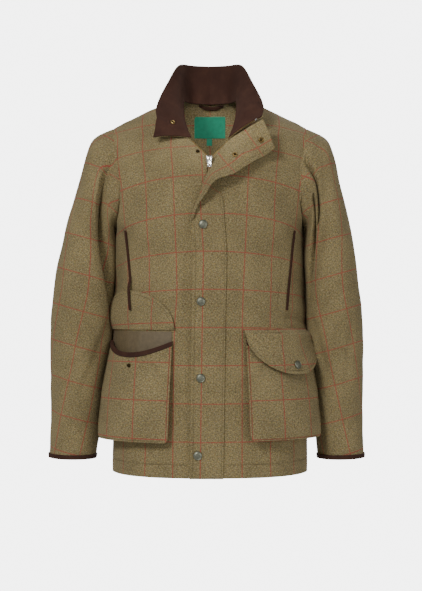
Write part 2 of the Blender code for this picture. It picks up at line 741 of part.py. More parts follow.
# Storm flap
def flap_grid():
    """The outer face of the storm flap, by rows from hem to top and columns from its seam to its free edge."""
    closed = np.linspace(0, FLAP_CLOSED_TO, FLAP_CLOSED_STEPS)
    turned = np.linspace(FLAP_CLOSED_TO, STORM_FLAP[-1].along, FLAP_TURNED_STEPS)
    along = np.concatenate([closed, turned[1:]])
    half_turn = math.pi * FLAP_ROLL / 2
    grid = []
    for place in along:
        row = {name: float(column(STORM_FLAP, name, place)) for name in Turn._fields[1:]}
        lean, rise = math.radians(row["lean"]), math.radians(row["rise"])
        line = []
        for share in np.linspace(0, 1, FLAP_COLUMNS + 1):
            run = (row["closed"] - share) * FLAP_WIDTH
            beyond = max(abs(run) - half_turn, 0.0)
            if beyond == 0.0:
                away = FLAP_ROLL * (1 - math.cos(run / FLAP_ROLL))
                lift = FLAP_ROLL * (1 - math.sin(run / FLAP_ROLL))
            elif run > 0:
                away = FLAP_ROLL + beyond
                lift = 0.0
            else:
                away = FLAP_ROLL + beyond * math.cos(rise)
                lift = 2 * FLAP_ROLL + beyond * math.sin(rise)
            x = row["fold_x"] + away * math.cos(lean)
            h = row["fold_h"] - away * math.sin(lean)
            point, out = surface_frame(FRONT, x, h)
            line.append(point + out * (CLOTH + CLEAR + lift) + np.array([0.0, -row["fold_out"], 0.0]))
        grid.append(line)
    return np.array(grid), along


def storm_flap():
    grid, along = flap_grid()
    forward = np.array([0.0, -1.0, 0.0])
    cloth_sheet("storm_flap", grid, CLOTH, forward, "tweed", test_row=FLAP_CLOSED_ROW)
    for spot in FLAP_SNAPS:
        point, out = surface_frame(FRONT, spot.x, spot.height)
        snap_cap(spot.name, point + out * (CLOTH + CLEAR), out)
    outer_side = grid_normals(grid, forward, FLAP_CLOSED_ROW)
    for name, place, share in FLAP_RINGS:
        i = int(np.argmin(np.abs(along - place * STORM_FLAP[-1].along)))
        j = round(share * FLAP_COLUMNS)
        inside = -outer_side[i, j]
        snap_ring(name, grid[i, j] + inside * CLOTH, inside)


# Zip
def zip_tape(side):
    """A tape behind the edge of one front, from the hem to the collar."""
    rows = []
    for level in np.linspace(TAPE_LEVELS[0], TAPE_LEVELS[1], TAPE_STEPS):
        edge, beside = panel_row(FRONT, side, level, (0.0, BESIDE_EDGE))
        ahead = unit(beside - edge)
        below, above = (panel_row(FRONT, side, level + step, 0.0) for step in (-NEAR_LEVEL, NEAR_LEVEL))
        out = unit(np.cross(ahead, above - below)) * side
        behind = edge - out * (CLOTH + INSIDE_CLEAR)
        rows.append([behind - ahead * TAPE_OUT, behind, behind + ahead * TAPE_UNDER])
    name = "zip_tape_right" if side == RIGHT else "zip_tape_left"
    cloth_sheet(name, np.array(rows), TAPE_THICK, np.array([0.0, -1.0, 0.0]), "tape")


def operand(obj, name):
    """Turns an object into a helper of a Boolean: left out of the part and drawn as wire."""
    obj.name = name
    obj.hide_render = True
    obj.display_type = "WIRE"
    for home in list(obj.users_collection):
        home.objects.unlink(obj)
    cutters.objects.link(obj)
    return obj


def box(name, size, centre):
    """A box with its scale applied, centred on a place given with its height above the hem."""
    bpy.ops.mesh.primitive_cube_add(size=1.0)
    obj = bpy.context.object
    obj.name = name
    obj.scale = size
    bpy.ops.object.transform_apply(location=False, rotation=False, scale=True)
    obj.location = Vector(centre) - Vector((0, 0, NECK_ABOVE_HEM))
    return obj


def combine(obj, other, way):
    cut = obj.modifiers.new(other.name, "BOOLEAN")
    cut.operation = way
    cut.object = other


def zip_slider_and_pull():
    """A slider with a wire bridge, and a pull tab whose bar turns inside that bridge."""
    wide, deep, tall = SLIDER_SIZE
    front_y = surface_point(FRONT, ZIP_HALF_GAP, SLIDER_LOW)[1] - HARD_CLEAR
    pivot = (SLIDER_CENTRE_X, front_y - deep - PIVOT_AHEAD, PIVOT_HEIGHT)
    body = box("zip_slider", SLIDER_SIZE, (SLIDER_CENTRE_X, front_y - deep / 2, SLIDER_LOW + tall / 2))
    edges = body.modifiers.new("edges", "BEVEL")
    edges.width = SLIDER_BEVEL
    edges.segments = 2
    bpy.ops.mesh.primitive_torus_add(
        major_radius=BRIDGE_RADIUS, minor_radius=BRIDGE_WIRE, major_segments=20, minor_segments=8
    )
    bridge = operand(bpy.context.object, "slider_bridge")
    aim(bridge, pivot, (1, 0, 0))
    combine(body, bridge, "UNION")
    finish_object(body, "silver")

    bar_top = PULL_WINDOW_NEAR / 2
    plate_size = (PULL_WIDTH, PULL_THICK, PULL_LENGTH + bar_top)
    plate = box("zip_pull", plate_size, pivot)
    plate.data.transform(Matrix.Translation((0, 0, bar_top - plate_size[2] / 2)))
    edges = plate.modifiers.new("edges", "BEVEL")
    edges.width = PULL_THICK / 4
    edges.segments = 1
    window_size = (PULL_WINDOW, PULL_THICK * 4, PULL_WINDOW_FAR - PULL_WINDOW_NEAR)
    window_middle = PIVOT_HEIGHT - (PULL_WINDOW_FAR + PULL_WINDOW_NEAR) / 2
    window = operand(box("pull_window", window_size, (*pivot[:2], window_middle)), "pull_window")
    combine(plate, window, "DIFFERENCE")
    bpy.ops.mesh.primitive_cylinder_add(vertices=14, radius=PULL_HOLE, depth=PULL_THICK * 4)
    hole = operand(bpy.context.object, "pull_hole")
    aim(hole, (*pivot[:2], PIVOT_HEIGHT - PULL_HOLE_AT), (0, 1, 0))
    combine(plate, hole, "DIFFERENCE")
    finish_object(plate, "silver")


# Hand pockets
def hand_pocket_binding(side):
    """A narrow bound edge on a front; the right one lies over the raised pocket flap."""
    rows = []
    for h in np.linspace(HAND_POCKET[0].height, HAND_POCKET[-1].height, HAND_POCKET_STEPS):
        girth = girth_of_x(side, h, column(HAND_POCKET, "x", h))
        over = float(column(HAND_POCKET, "over_raised", h)) if side == RIGHT else 0.0
        line = []
        for share in (-0.5, 0.0, 0.5):
            point, out = girth_frame(side, h, girth + share * HAND_POCKET_WIDTH)
            line.append(point + out * (HAND_POCKET_OFF + TRIM + over))
        rows.append(line)
    name = "hand_pocket_binding_right" if side == RIGHT else "hand_pocket_binding_left"
    cloth_sheet(name, np.array(rows), TRIM, np.array([0.0, -1.0, 0.0]), "brown")


# Bellows pockets: share a runs from the inner edge to the outer, share b from the bottom to the mouth
def pocket_place(side, a, b):
    """Girth and height of a place of the pocket panel."""
    pocket = POCKETS[side]
    corner = np.clip((abs(2 * a - 1) - 1) / POCKET_CORNER_SHARE + 1, 0.0, 1.0)
    low = pocket.bottom + POCKET_CORNER * (1 - math.sqrt(1 - corner ** 2))
    high = pocket.mouth - pocket.dip * math.sin(math.pi * a)
    inner = pocket.in_low + (pocket.in_top - pocket.in_low) * b
    return inner + (pocket.out - inner) * a, low + (high - low) * b


def pocket_off(side, a, b):
    """How far the outer face of the pocket panel stands off the front."""
    b = min(max(b, 0.0), 1.0)
    low = POCKET_LOW_OFF_IN + (POCKET_LOW_OFF_OUT - POCKET_LOW_OFF_IN) * a
    high = POCKET_MOUTH_OFF + (POCKETS[side].belly - POCKET_MOUTH_OFF) * math.sin(math.pi * a)
    return high + (low - high) * (1 - b ** POCKET_SLOPE)


def pocket_point(side, a, b, off, inset=0.0):
    """A point off the front at a pocket place, drawn in towards the pocket's middle by a share."""
    girth, h = pocket_place(side, a, b)
    middle_girth, middle_h = pocket_place(side, 0.5, 0.5)
    girth += (middle_girth - girth) * inset
    h += (middle_h - h) * inset
    point, out = girth_frame(side, h, girth)
    return point + out * off


def pocket_behind(side, a, b, deep):
    """A point behind the pocket panel, straight in from its face."""
    here = pocket_point(side, a, b, pocket_off(side, a, b))
    beside = pocket_point(side, a + NEAR_SHARE, b, pocket_off(side, a + NEAR_SHARE, b)) - here
    above = pocket_point(side, a, b + NEAR_SHARE, pocket_off(side, a, b + NEAR_SHARE)) - here
    return here - side * unit(np.cross(beside, above)) * deep


def pocket_name(side, piece):
    return ("pocket_right_" if side == RIGHT else "pocket_left_") + piece


def pocket_panel(side):
    grid = [
        [pocket_point(side, a, b, pocket_off(side, a, b)) for a in np.linspace(0, 1, POCKET_COLUMNS + 1)]
        for b in np.linspace(0, 1, POCKET_ROWS + 1)
    ]
    cloth_sheet(pocket_name(side, "panel"), np.array(grid), CLOTH, np.array([0.0, -1.0, 0.0]), "tweed")


def pocket_gusset(side):
    """A folded strip down one side, along the bottom and up the other, from the front to the panel."""
    down = [(0.0, b) for b in np.linspace(GUSSET_TOP, 0.0, POCKET_ROWS)]
    along = [(a, 0.0) for a in np.linspace(0, 1, POCKET_COLUMNS + 1)][1:-1]
    up = [(1.0, b) for b in np.linspace(0.0, GUSSET_TOP, POCKET_ROWS)]
    rows = []
    for a, b in down + along + up:
        edge_a = min(max(a, GUSSET_EDGE_INSET), 1 - GUSSET_EDGE_INSET)
        edge_b = max(b, GUSSET_EDGE_INSET)
        edge = pocket_behind(side, edge_a, edge_b, CLOTH + GUSSET_BEHIND)
        off = pocket_off(side, a, b)
        rows.append([
            pocket_point(side, a, b, INSIDE_CLEAR, GUSSET_ROOT_INSET),
            pocket_point(side, a, b, off / 2, GUSSET_FOLD_INSET),
            edge,
        ])
    cloth_sheet(pocket_name(side, "gusset"), np.array(rows), TRIM, np.array([0.0, 0.0, -1.0]), "tweed")


def pocket_binding(side):
    """A brown binding folded over the edge of the mouth."""
    rings = []
    for a in np.linspace(0.0, 1.0, POCKET_COLUMNS + 1):
        girth, mouth = pocket_place(side, a, 1.0)
        depth = mouth - pocket_place(side, a, 0.0)[1]
        ring = []
        for drop, out_by in BINDING_SECTION:
            point, out = girth_frame(side, mouth - drop, girth)
            ring.append(point + out * (pocket_off(side, a, 1 - drop / depth) + out_by))
        rings.append(np.array(ring))
    swept_band(pocket_name(side, "binding"), rings, False, "brown")


def pocket_lining():
    """The lining that shows in the open mouth: a patch on the right front."""
    pocket = POCKETS[RIGHT]
    rows = []
    from_h, to_h = LINING_WIDENS
    for h in np.linspace(LINING_LOW, pocket.hinge - LINING_BELOW_HINGE, 8):
        wider = ease((h - from_h) / (to_h - from_h))
        margin = LINING_MARGIN_LOW + (LINING_MARGIN_HIGH - LINING_MARGIN_LOW) * wider
        line = []
        for a in np.linspace(0, 1, 7):
            girth = pocket.in_top + margin + (pocket.out - pocket.in_top - 2 * margin) * a
            point, out = girth_frame(RIGHT, h, girth)
            line.append(point + out * (ON_CURVE_CLEAR + TRIM))
        rows.append(line)
    cloth_sheet("pocket_right_lining", np.array(rows), TRIM, np.array([0.0, -1.0, 0.0]), "lining")


def pocket_flap_drop(side, a):
    """Length of the pocket flap at a share of its width from its inner end."""
    full = POCKET_FLAP_DROP[side]
    if a < POCKET_FLAP_PEAK:
        away = (POCKET_FLAP_PEAK - a) / POCKET_FLAP_PEAK
        swell = (1 - away ** POCKET_FLAP_CURVE) ** (1 / POCKET_FLAP_CURVE)
        return POCKET_FLAP_END + (full - POCKET_FLAP_END) * swell
    past = (a - POCKET_FLAP_PEAK) / (1 - POCKET_FLAP_PEAK)
    return full * (1 - POCKET_FLAP_TRIM * past ** POCKET_FLAP_TRIM_CURVE)


def pocket_flap_point(side, a, b):
    """The face of the flap that shows; b runs from its seam to its edge. The right flap is turned up."""
    pocket = POCKETS[side]
    start = pocket.in_top - POCKET_FLAP_BEFORE
    girth = start + (pocket.out - start) * a
    drop = pocket_flap_drop(side, a) * b
    if side == RIGHT:
        point, out = girth_frame(side, pocket.hinge + drop, girth)
        return point + out * (CLEAR + CLOTH + RAISED_FLAP_BULGE * math.sin(math.pi * b))
    h = pocket.hinge - drop
    low = pocket_place(side, a, 0.0)[1]
    mouth = pocket_place(side, a, 1.0)[1]
    standing = pocket_off(side, a, (h - low) / (mouth - low)) + 2 * CLEAR + TRIM + CLOSED_FLAP_OVER
    point, out = girth_frame(side, h, girth)
    return point + out * (CLOTH + CLEAR + standing * ease((pocket.hinge - h) / POCKET_FLAP_LIFT))


def pocket_flap(side):
    grid = [
        [pocket_flap_point(side, a, b) for a in np.linspace(0, 1, POCKET_COLUMNS + 2)]
        for b in np.linspace(0, 1, POCKET_ROWS)
    ]
    cloth_sheet(pocket_name(side, "flap"), np.array(grid), CLOTH, np.array([0.0, -1.0, 0.0]), "tweed")


def pocket_fasteners():
    place = POCKET_STUD_PLACE
    on_panel = pocket_behind(RIGHT, *place, 0.0)
    stud("pocket_right_stud", on_panel, unit(on_panel - pocket_behind(RIGHT, *place, CLOTH)))
    a, b = POCKET_SNAP_PLACE
    here = pocket_flap_point(LEFT, a, b)
    beside = pocket_flap_point(LEFT, a + NEAR_SHARE, b) - here
    below = pocket_flap_point(LEFT, a, b + NEAR_SHARE) - here
    snap_cap("pocket_left_snap", here, unit(np.cross(below, beside)))


# Cuffs and back neck
def cuff_binding(side):
    """A brown binding folded over the end of the sleeve."""
    end = float(SLEEVE_ROWS[-1])
    front_angles = [math.pi * (1 - share) for share in ARMHOLE_SHARES]
    rings = []
    for angle in front_angles + [-angle for angle in front_angles[-2:0:-1]]:
        here = sleeve_point(side, end, angle)
        up = unit(sleeve_point(side, end - NEAR_END, angle) - here)
        around = sleeve_point(side, end, angle + NEAR_ANGLE) - sleeve_point(side, end, angle - NEAR_ANGLE)
        out = unit(np.cross(around, up))
        middle = (sleeve_point(side, end, 0.0) + sleeve_point(side, end, math.pi)) / 2
        if np.dot(out, here - middle) < 0:
            out = -out
        rings.append(np.array([here + up * rise + out * out_by for rise, out_by in BINDING_SECTION]))
    swept_band("cuff_binding_right" if side == RIGHT else "cuff_binding_left", rings, True, "brown")


def inside_back(x, h, off):
    """A point inside the back, clear of its wall."""
    point, out = surface_frame(BACK, x, h)
    return point - out * (CLOTH + INSIDE_CLEAR + off)


def neck_pieces():
    """Hanging loop, bare label and bare size tab, inside the back below the collar."""
    forward = np.array([0.0, -1.0, 0.0])
    rows = []
    for share in np.linspace(-1, 1, 11):
        deep = LOOP_DEEP * min(1.0, LOOP_END_SHARE + LOOP_END_SLOPE * (1 - abs(share)))
        bow = TRIM + LOOP_CLEAR + LOOP_BOW * (1 - share ** 2)
        line = [inside_back(LOOP_X + LOOP_HALF * share, LOOP_TOP - deep * k, bow) for k in (0.0, 0.5, 1.0)]
        rows.append(line)
    cloth_sheet("hanging_loop", np.array(rows), TRIM, forward, "brown")
    for name, (x0, x1, low, high) in (("neck_label", LABEL_BOX), ("size_tab", TAB_BOX)):
        grid = [
            [inside_back(x, h, LABEL_THICK) for x in np.linspace(x0, x1, 5)]
            for h in np.linspace(low, high, 4)
        ]
        cloth_sheet(name, np.array(grid), LABEL_THICK, forward, "label")


def build():
    sew([front_panel(RIGHT), front_panel(LEFT), back_panel(), sleeve_panel(RIGHT), sleeve_panel(LEFT)])
    collar()
    storm_flap()
    point, out = surface_frame(FRONT, FRONT_STUD.x, FRONT_STUD.height)
    stud(FRONT_STUD.name, point, out)
    zip_slider_and_pull()
    neck_pieces()
    pocket_lining()
    for side in (RIGHT, LEFT):
        zip_tape(side)
        cuff_binding(side)
        hand_pocket_binding(side)
        pocket_panel(side)
        pocket_gusset(side)
        pocket_binding(side)
        pocket_flap(side)
    pocket_fasteners()


build()
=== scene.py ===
"""Looks of the tweed jacket: cloth shells on the part's own forms, with weave, checks, creases, sewing
and fittings. Metres, +Z up, the front faces -Y. Sides are the wearer's: the right side is at -X.
Heights in the tables are above the hem."""

import math
from collections import namedtuple

import bpy
import numpy as np
from mathutils import Matrix, Vector


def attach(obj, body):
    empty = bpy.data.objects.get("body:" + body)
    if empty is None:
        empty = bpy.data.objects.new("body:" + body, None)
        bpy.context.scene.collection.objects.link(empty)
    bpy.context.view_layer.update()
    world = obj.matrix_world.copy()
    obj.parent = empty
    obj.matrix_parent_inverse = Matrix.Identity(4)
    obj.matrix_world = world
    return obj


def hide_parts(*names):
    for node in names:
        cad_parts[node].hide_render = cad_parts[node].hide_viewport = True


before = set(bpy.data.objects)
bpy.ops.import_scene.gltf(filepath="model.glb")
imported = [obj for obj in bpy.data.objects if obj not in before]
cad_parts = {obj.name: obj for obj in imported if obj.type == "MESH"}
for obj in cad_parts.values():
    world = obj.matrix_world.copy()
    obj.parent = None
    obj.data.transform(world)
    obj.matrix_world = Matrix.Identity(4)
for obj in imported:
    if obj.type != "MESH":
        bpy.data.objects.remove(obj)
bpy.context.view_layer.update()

RIGHT, LEFT = -1, 1
FRONT, BACK = 1, -1
SIDE_NAME = {RIGHT: "right", LEFT: "left"}
FORWARD = np.array([0.0, -1.0, 0.0])
BACKWARD = np.array([0.0, 1.0, 0.0])
DOWNWARD = np.array([0.0, 0.0, -1.0])

# Sizes shared with the solids
NECK_ABOVE_HEM = 0.776
UNDERARM = 0.500
CLOTH = 0.0024
COLLAR_LAYER = 0.0020
TRIM = 0.0014
SEAM = 0.0003
CLEAR = 0.0006
ON_CURVE_CLEAR = 0.0009
INSIDE_CLEAR = 0.0012
HARD_CLEAR = 0.0001
ZIP_HALF_GAP = 0.006
CHEST_FLATNESS = 2.2
SHOULDER_BOW = 1.4
CHEST_TURN = 0.45
NECK_SHARE = 0.80
FLAP_WIDTH = 0.066
FLAP_ROLL = 0.0017

# The body's level rings, from hem to underarm
Ring = namedtuple("Ring", "height half_width front back side square")
TORSO = (
    Ring(0.000, 0.2040, 0.150, 0.146, 0.012, 2.40),
    Ring(0.100, 0.2050, 0.150, 0.142, 0.018, 2.35),
    Ring(0.250, 0.2070, 0.146, 0.134, 0.032, 2.20),
    Ring(0.360, 0.2070, 0.143, 0.128, 0.040, 2.10),
    Ring(0.450, 0.2055, 0.145, 0.136, 0.036, 2.10),
    Ring(0.476, 0.2020, 0.146, 0.140, 0.026, 2.15),
    Ring(0.500, 0.1960, 0.147, 0.142, 0.0085, 2.30),
)

# Inner edge of each front, then of each half of the back, above the underarm
Edge = namedtuple("Edge", "share x y height")
FRONT_EDGE = (
    Edge(0.00, 0.006, -0.147, 0.500),
    Edge(0.31, 0.006, -0.145, 0.570),
    Edge(0.52, 0.006, -0.140, 0.634),
    Edge(0.66, 0.022, -0.122, 0.657),
    Edge(0.80, 0.041, -0.102, 0.680),
    Edge(0.90, 0.056, -0.052, 0.730),
    Edge(1.00, 0.060, 0.012, 0.776),
)
BACK_EDGE = (
    Edge(0.00, 0.000, 0.142, 0.500),
    Edge(0.31, 0.000, 0.148, 0.585),
    Edge(0.52, 0.000, 0.136, 0.665),
    Edge(0.66, 0.000, 0.113, 0.728),
    Edge(0.80, 0.000, 0.080, 0.780),
    Edge(0.90, 0.042, 0.060, 0.780),
    Edge(1.00, 0.060, 0.012, 0.776),
)

# Sleeve sections from the armhole to the cuff
Section = namedtuple(
    "Section", "along outer_x outer_h inner_x inner_h centre_y depth dip_x dip_h sway_out sway_in"
)
SLEEVE = (
    Section(0, 0.204, 0.715, 0.1960, 0.5000, 0.0085, 0.093, 0.016, 0.012, 0.0, 0.0),
    Section(1, 0.247, 0.689, 0.1965, 0.4965, 0.0060, 0.094, 0.006, 0.004, 0.0, 0.0),
    Section(2, 0.275, 0.590, 0.1960, 0.4860, -0.0060, 0.084, 0.000, 0.000, 0.2, 0.0),
    Section(3, 0.300, 0.487, 0.1962, 0.4520, -0.0180, 0.076, 0.000, 0.000, 0.6, 0.0),
    Section(4, 0.316, 0.391, 0.1970, 0.3780, -0.0220, 0.070, 0.000, 0.000, 1.0, 0.0),
    Section(5, 0.326, 0.290, 0.2025, 0.2870, -0.0140, 0.066, 0.000, 0.000, 1.0, 0.1),
    Section(6, 0.328, 0.200, 0.2130, 0.2000, 0.0020, 0.061, 0.000, 0.000, 1.0, 0.2),
    Section(7, 0.328, 0.110, 0.2235, 0.1100, 0.0080, 0.055, 0.000, 0.000, 1.0, 0.5),
    Section(8, 0.331, 0.027, 0.2335, 0.0250, 0.0080, 0.050, 0.000, 0.000, 1.0, 1.0),
)
SLEEVE_SWAY = {RIGHT: 0.007, LEFT: -0.007}
INNER_FROM = 154
INNER_TO = 176

# Folds along the sleeves, by place along, degrees round from the outer line and depth in metres
Fold = namedtuple("Fold", "side start end angle_start angle_end depth width_low width_high lap")
SLEEVE_FOLDS = (
    Fold(0, 0.4, 4.6, 42, 178, 0.0100, 20, 20, 0),
    Fold(0, 0.5, 4.2, -50, -168, 0.0080, 22, 22, 0),
    Fold(0, 4.2, 6.4, 120, 60, 0.0035, 22, 22, 0),
    Fold(RIGHT, 0.1, 5.0, 62, 172, 0.0330, 6, 28, 6),
    Fold(LEFT, 0.1, 2.4, 62, 118, 0.0240, 4, 6, 7),
    Fold(LEFT, 0.9, 5.0, 102, 172, 0.0320, 4, 7, 8),
    Fold(RIGHT, 4.4, 6.6, 160, 96, 0.0040, 10, 14, 0),
    Fold(RIGHT, 4.9, 7.6, 60, 20, 0.0030, 9, 16, 0),
    Fold(LEFT, 4.5, 6.2, 150, 110, 0.0042, 9, 13, 0),
    Fold(LEFT, 4.0, 7.2, 52, 84, 0.0030, 12, 10, 0),
    Fold(RIGHT, 1.0, 4.4, -64, -150, 0.0070, 10, 3.5, -5),
    Fold(LEFT, 0.8, 4.6, -58, -156, 0.0066, 11, 3.5, -5),
    Fold(RIGHT, 4.6, 6.3, -150, -92, 0.0040, 12, 8, 0),
    Fold(LEFT, 4.4, 6.6, -144, -80, 0.0036, 13, 9, 0),
    Fold(RIGHT, 5.4, 7.4, -40, -70, 0.0026, 11, 13, 0),
    Fold(LEFT, 5.0, 7.2, -30, -66, 0.0028, 12, 10, 0),
)
LAP_WIDE = 9.0
LAP_NARROW = 3.0
FOLD_SWELL = 0.6

# The collar's free edge, from the centre back round to each front end
Lip = namedtuple("Lip", "turn x y height roll")
COLLAR_EDGE = {
    RIGHT: (
        Lip(0.00, 0.000, 0.088, 0.862, 0.001),
        Lip(0.25, 0.040, 0.078, 0.862, 0.001),
        Lip(0.40, 0.066, 0.046, 0.860, 0.003),
        Lip(0.52, 0.086, 0.004, 0.818, 0.007),
        Lip(0.66, 0.103, -0.034, 0.776, 0.009),
        Lip(0.80, 0.112, -0.072, 0.738, 0.009),
        Lip(0.90, 0.108, -0.096, 0.718, 0.006),
        Lip(1.00, 0.115, -0.118, 0.679, 0.004),
    ),
    LEFT: (
        Lip(0.00, 0.000, 0.088, 0.862, 0.001),
        Lip(0.25, 0.040, 0.078, 0.862, 0.001),
        Lip(0.40, 0.067, 0.046, 0.860, 0.003),
        Lip(0.52, 0.087, 0.006, 0.818, 0.007),
        Lip(0.66, 0.102, -0.026, 0.781, 0.009),
        Lip(0.80, 0.110, -0.056, 0.754, 0.009),
        Lip(0.90, 0.111, -0.076, 0.738, 0.006),
        Lip(1.00, 0.106, -0.096, 0.723, 0.003),
    ),
}
COLLAR_TURNED_EDGE = 0.985
COLLAR_TUCK = -0.05
COLLAR_TIP_CREASE = (0.900, 0.992)
COLLAR_TIP_RIDGE = 0.0060
COLLAR_TIP_WIDE = 0.030
COLLAR_TIP_FROM = 0.15
COLLAR_STEPS = 72
COLLAR_COLUMNS = 30

# Storm flap from hem to top
Turn = namedtuple("Turn", "along fold_x fold_h lean closed fold_out rise")
STORM_FLAP = (
    Turn(0.000, -0.0455, -0.0006, 0, 1.10, 0.000, 70),
    Turn(0.430, -0.0390, 0.430, 0, 1.10, 0.000, 70),
    Turn(0.500, -0.0370, 0.500, 0, 1.02, 0.000, 70),
    Turn(0.535, -0.0285, 0.537, 3, 0.86, 0.000, 70),
    Turn(0.560, -0.0165, 0.566, 16, 0.67, 0.000, 64),
    Turn(0.585, -0.0095, 0.590, 36, 0.56, 0.000, 54),
    Turn(0.605, -0.0015, 0.607, 48, 0.48, 0.000, 45),
    Turn(0.620, 0.0060, 0.619, 52, 0.38, 0.000, 37),
    Turn(0.635, 0.0125, 0.631, 53, 0.29, 0.000, 25),
    Turn(0.655, 0.0210, 0.647, 53, 0.19, 0.002, 12),
    Turn(0.685, 0.0380, 0.667, 52, 0.10, 0.006, 5),
    Turn(0.715, 0.0640, 0.685, 52, 0.06, 0.016, -8),
    Turn(0.765, 0.1050, 0.710, 54, 0.06, 0.054, -30),
)
FLAP_CLOSED_TO = 0.5
FLAP_CLOSED_STEPS = 90
FLAP_TURNED_STEPS = 110
FLAP_PLAIN_COLUMNS = 16
FLAP_ROLL_COLUMNS = 9
FLAP_EDGE_LIFT = 0.0018
FLAP_EDGE_FROM = 0.86
FLAP_LIFTS = (0.98, 1.06)
FLAP_ROLL_LIMITS = (0.06, 0.94)
FLAP_CLOSED_ROW = 20

# Bellows pockets
Pocket = namedtuple("Pocket", "in_top in_low out hinge mouth bottom dip belly")
POCKETS = {
    RIGHT: Pocket(0.0740, 0.0800, 0.2480, 0.294, 0.270, 0.071, 0.024, 0.020),
    LEFT: Pocket(0.0715, 0.0770, 0.2400, 0.297, 0.272, 0.075, 0.012, 0.009),
}
POCKET_CORNER = 0.012
POCKET_CORNER_SHARE = 0.10
POCKET_MOUTH_OFF = 0.0065
POCKET_LOW_OFF_IN = 0.020
POCKET_LOW_OFF_OUT = 0.033
POCKET_SLOPE = 1.7
POCKET_COLUMNS = 64
POCKET_ROWS = 64
GUSSET_TOP = 0.94
GUSSET_BEHIND = 0.0018
GUSSET_EDGE_INSET = 0.020
GUSSET_FOLD_INSET = 0.085
GUSSET_ROOT_INSET = 0.035
GUSSET_COLUMNS = 13
NEAR_SHARE = 0.01
BINDING_DROP = 0.0080
BINDING_INSIDE = 0.0050
BINDING_EDGE = 0.0004
BINDING_BELLY = (0.0030, 0.0003)
BINDING_TURN = 0.0006
BINDING_BACK = 0.0020
BINDING_THIN = TRIM * 0.8
BINDING_STITCH = BINDING_DROP - 0.0018
BEHIND_CLOTH = -CLOTH - CLEAR
BINDING_SECTION = (
    (BINDING_DROP, CLEAR),
    (BINDING_DROP - BINDING_EDGE, CLEAR + TRIM),
    (BINDING_BELLY[0], CLEAR + TRIM + BINDING_BELLY[1]),
    (-CLEAR - BINDING_TURN, CLEAR + BINDING_THIN),
    (-CLEAR - TRIM, -CLOTH / 2),
    (-CLEAR - BINDING_TURN, BEHIND_CLOTH - BINDING_THIN),
    (BINDING_BACK, BEHIND_CLOTH - TRIM),
    (BINDING_INSIDE, BEHIND_CLOTH - BINDING_THIN),
    (BINDING_INSIDE, BEHIND_CLOTH),
    (0.0, BEHIND_CLOTH),
    (-CLEAR, -CLOTH / 2),
    (0.0, CLEAR),
)
LINING_LOW = 0.205
LINING_BELOW_HINGE = 0.003
LINING_MARGIN_LOW = 0.010
LINING_MARGIN_HIGH = 0.002
LINING_WIDENS = (0.258, 0.270)
POCKET_FLAP_DROP = {RIGHT: 0.080, LEFT: 0.0935}
POCKET_FLAP_END = 0.004
POCKET_FLAP_BEFORE = 0.004
POCKET_FLAP_LIFT = 0.016
POCKET_FLAP_PEAK = 0.60
POCKET_FLAP_CURVE = 1.9
POCKET_FLAP_TRIM = 0.30
POCKET_FLAP_TRIM_CURVE = 2.5
RAISED_FLAP_BULGE = 0.004
RAISED_FLAP_EDGE = 0.003
RAISED_FLAP_SLIP = np.array([0.012, -0.010])
RAISED_FLAP_WIDER = 0.012
RAISED_FLAP_CURL = 0.014
RAISED_FLAP_CURLS = 0.62
RAISED_FLAP_CURL_RISE = (0.12, 0.76)
CLOSED_FLAP_OVER = 0.0040
CLOSED_FLAP_EDGE = 0.0016

# Hand pockets
Bound = namedtuple("Bound", "height x over_raised")
HAND_POCKET = (
    Bound(0.333, 0.1545, 0.0086),
    Bound(0.352, 0.1562, 0.0085),
    Bound(0.379, 0.1587, 0.0066),
    Bound(0.400, 0.1607, 0.0000),
    Bound(0.440, 0.1648, 0.0000),
    Bound(0.496, 0.1710, 0.0000),
)
HAND_POCKET_WIDTH = 0.0066
HAND_POCKET_OFF = 0.0015

# Snaps, rings, studs and zip
Spot = namedtuple("Spot", "name x height")
FLAP_SNAPS = (
    Spot("flap_snap_1", -0.0135, 0.504),
    Spot("flap_snap_2", -0.0175, 0.351),
    Spot("flap_snap_3", -0.0180, 0.199),
    Spot("flap_snap_4", -0.0240, 0.046),
)
FLAP_RINGS = (("flap_ring_1", 0.968, 0.56), ("flap_ring_2", 0.878, 0.56))
FRONT_STUD = Spot("front_stud", -0.0245, 0.650)
POCKET_STUD_PLACE = (0.48, 0.86)
POCKET_SNAP_PLACE = (0.60, 0.80)
COLLAR_RING_PLACE = (0.90, 0.55)
TAPE_LEVELS = (0.004, 1.79)
NEAR_LEVEL = 0.003
BESIDE_EDGE = 0.05
TAPE_OUT = 0.0048
TAPE_UNDER = 0.0080
TAPE_THICK = 0.0010
SLIDER_SIZE = (0.0135, 0.0070, 0.0125)
SLIDER_CENTRE_X = -0.0012
SLIDER_LOW = 0.6275
SLIDER_TAPER = 0.74
SLIDER_ROUND = (0.0018, 4)
PIVOT_AHEAD = 0.0020
PIVOT_HEIGHT = 0.6350
BRIDGE_RADIUS = 0.0031
BRIDGE_WIRE = 0.00065
BRIDGE_SEGMENTS = (36, 12)
PULL_WIDTH = 0.0082
PULL_LENGTH = 0.0175
PULL_THICK = 0.0012
PULL_WINDOW = 0.0021
PULL_WINDOW_NEAR = 0.0012
PULL_WINDOW_FAR = 0.0048
PULL_HOLE = 0.0018
PULL_HOLE_AT = 0.0140
PULL_HOLE_SIDES = 28
PULL_CUTTER = PULL_THICK * 4
PULL_ROUND = (PULL_THICK / 4, 2)

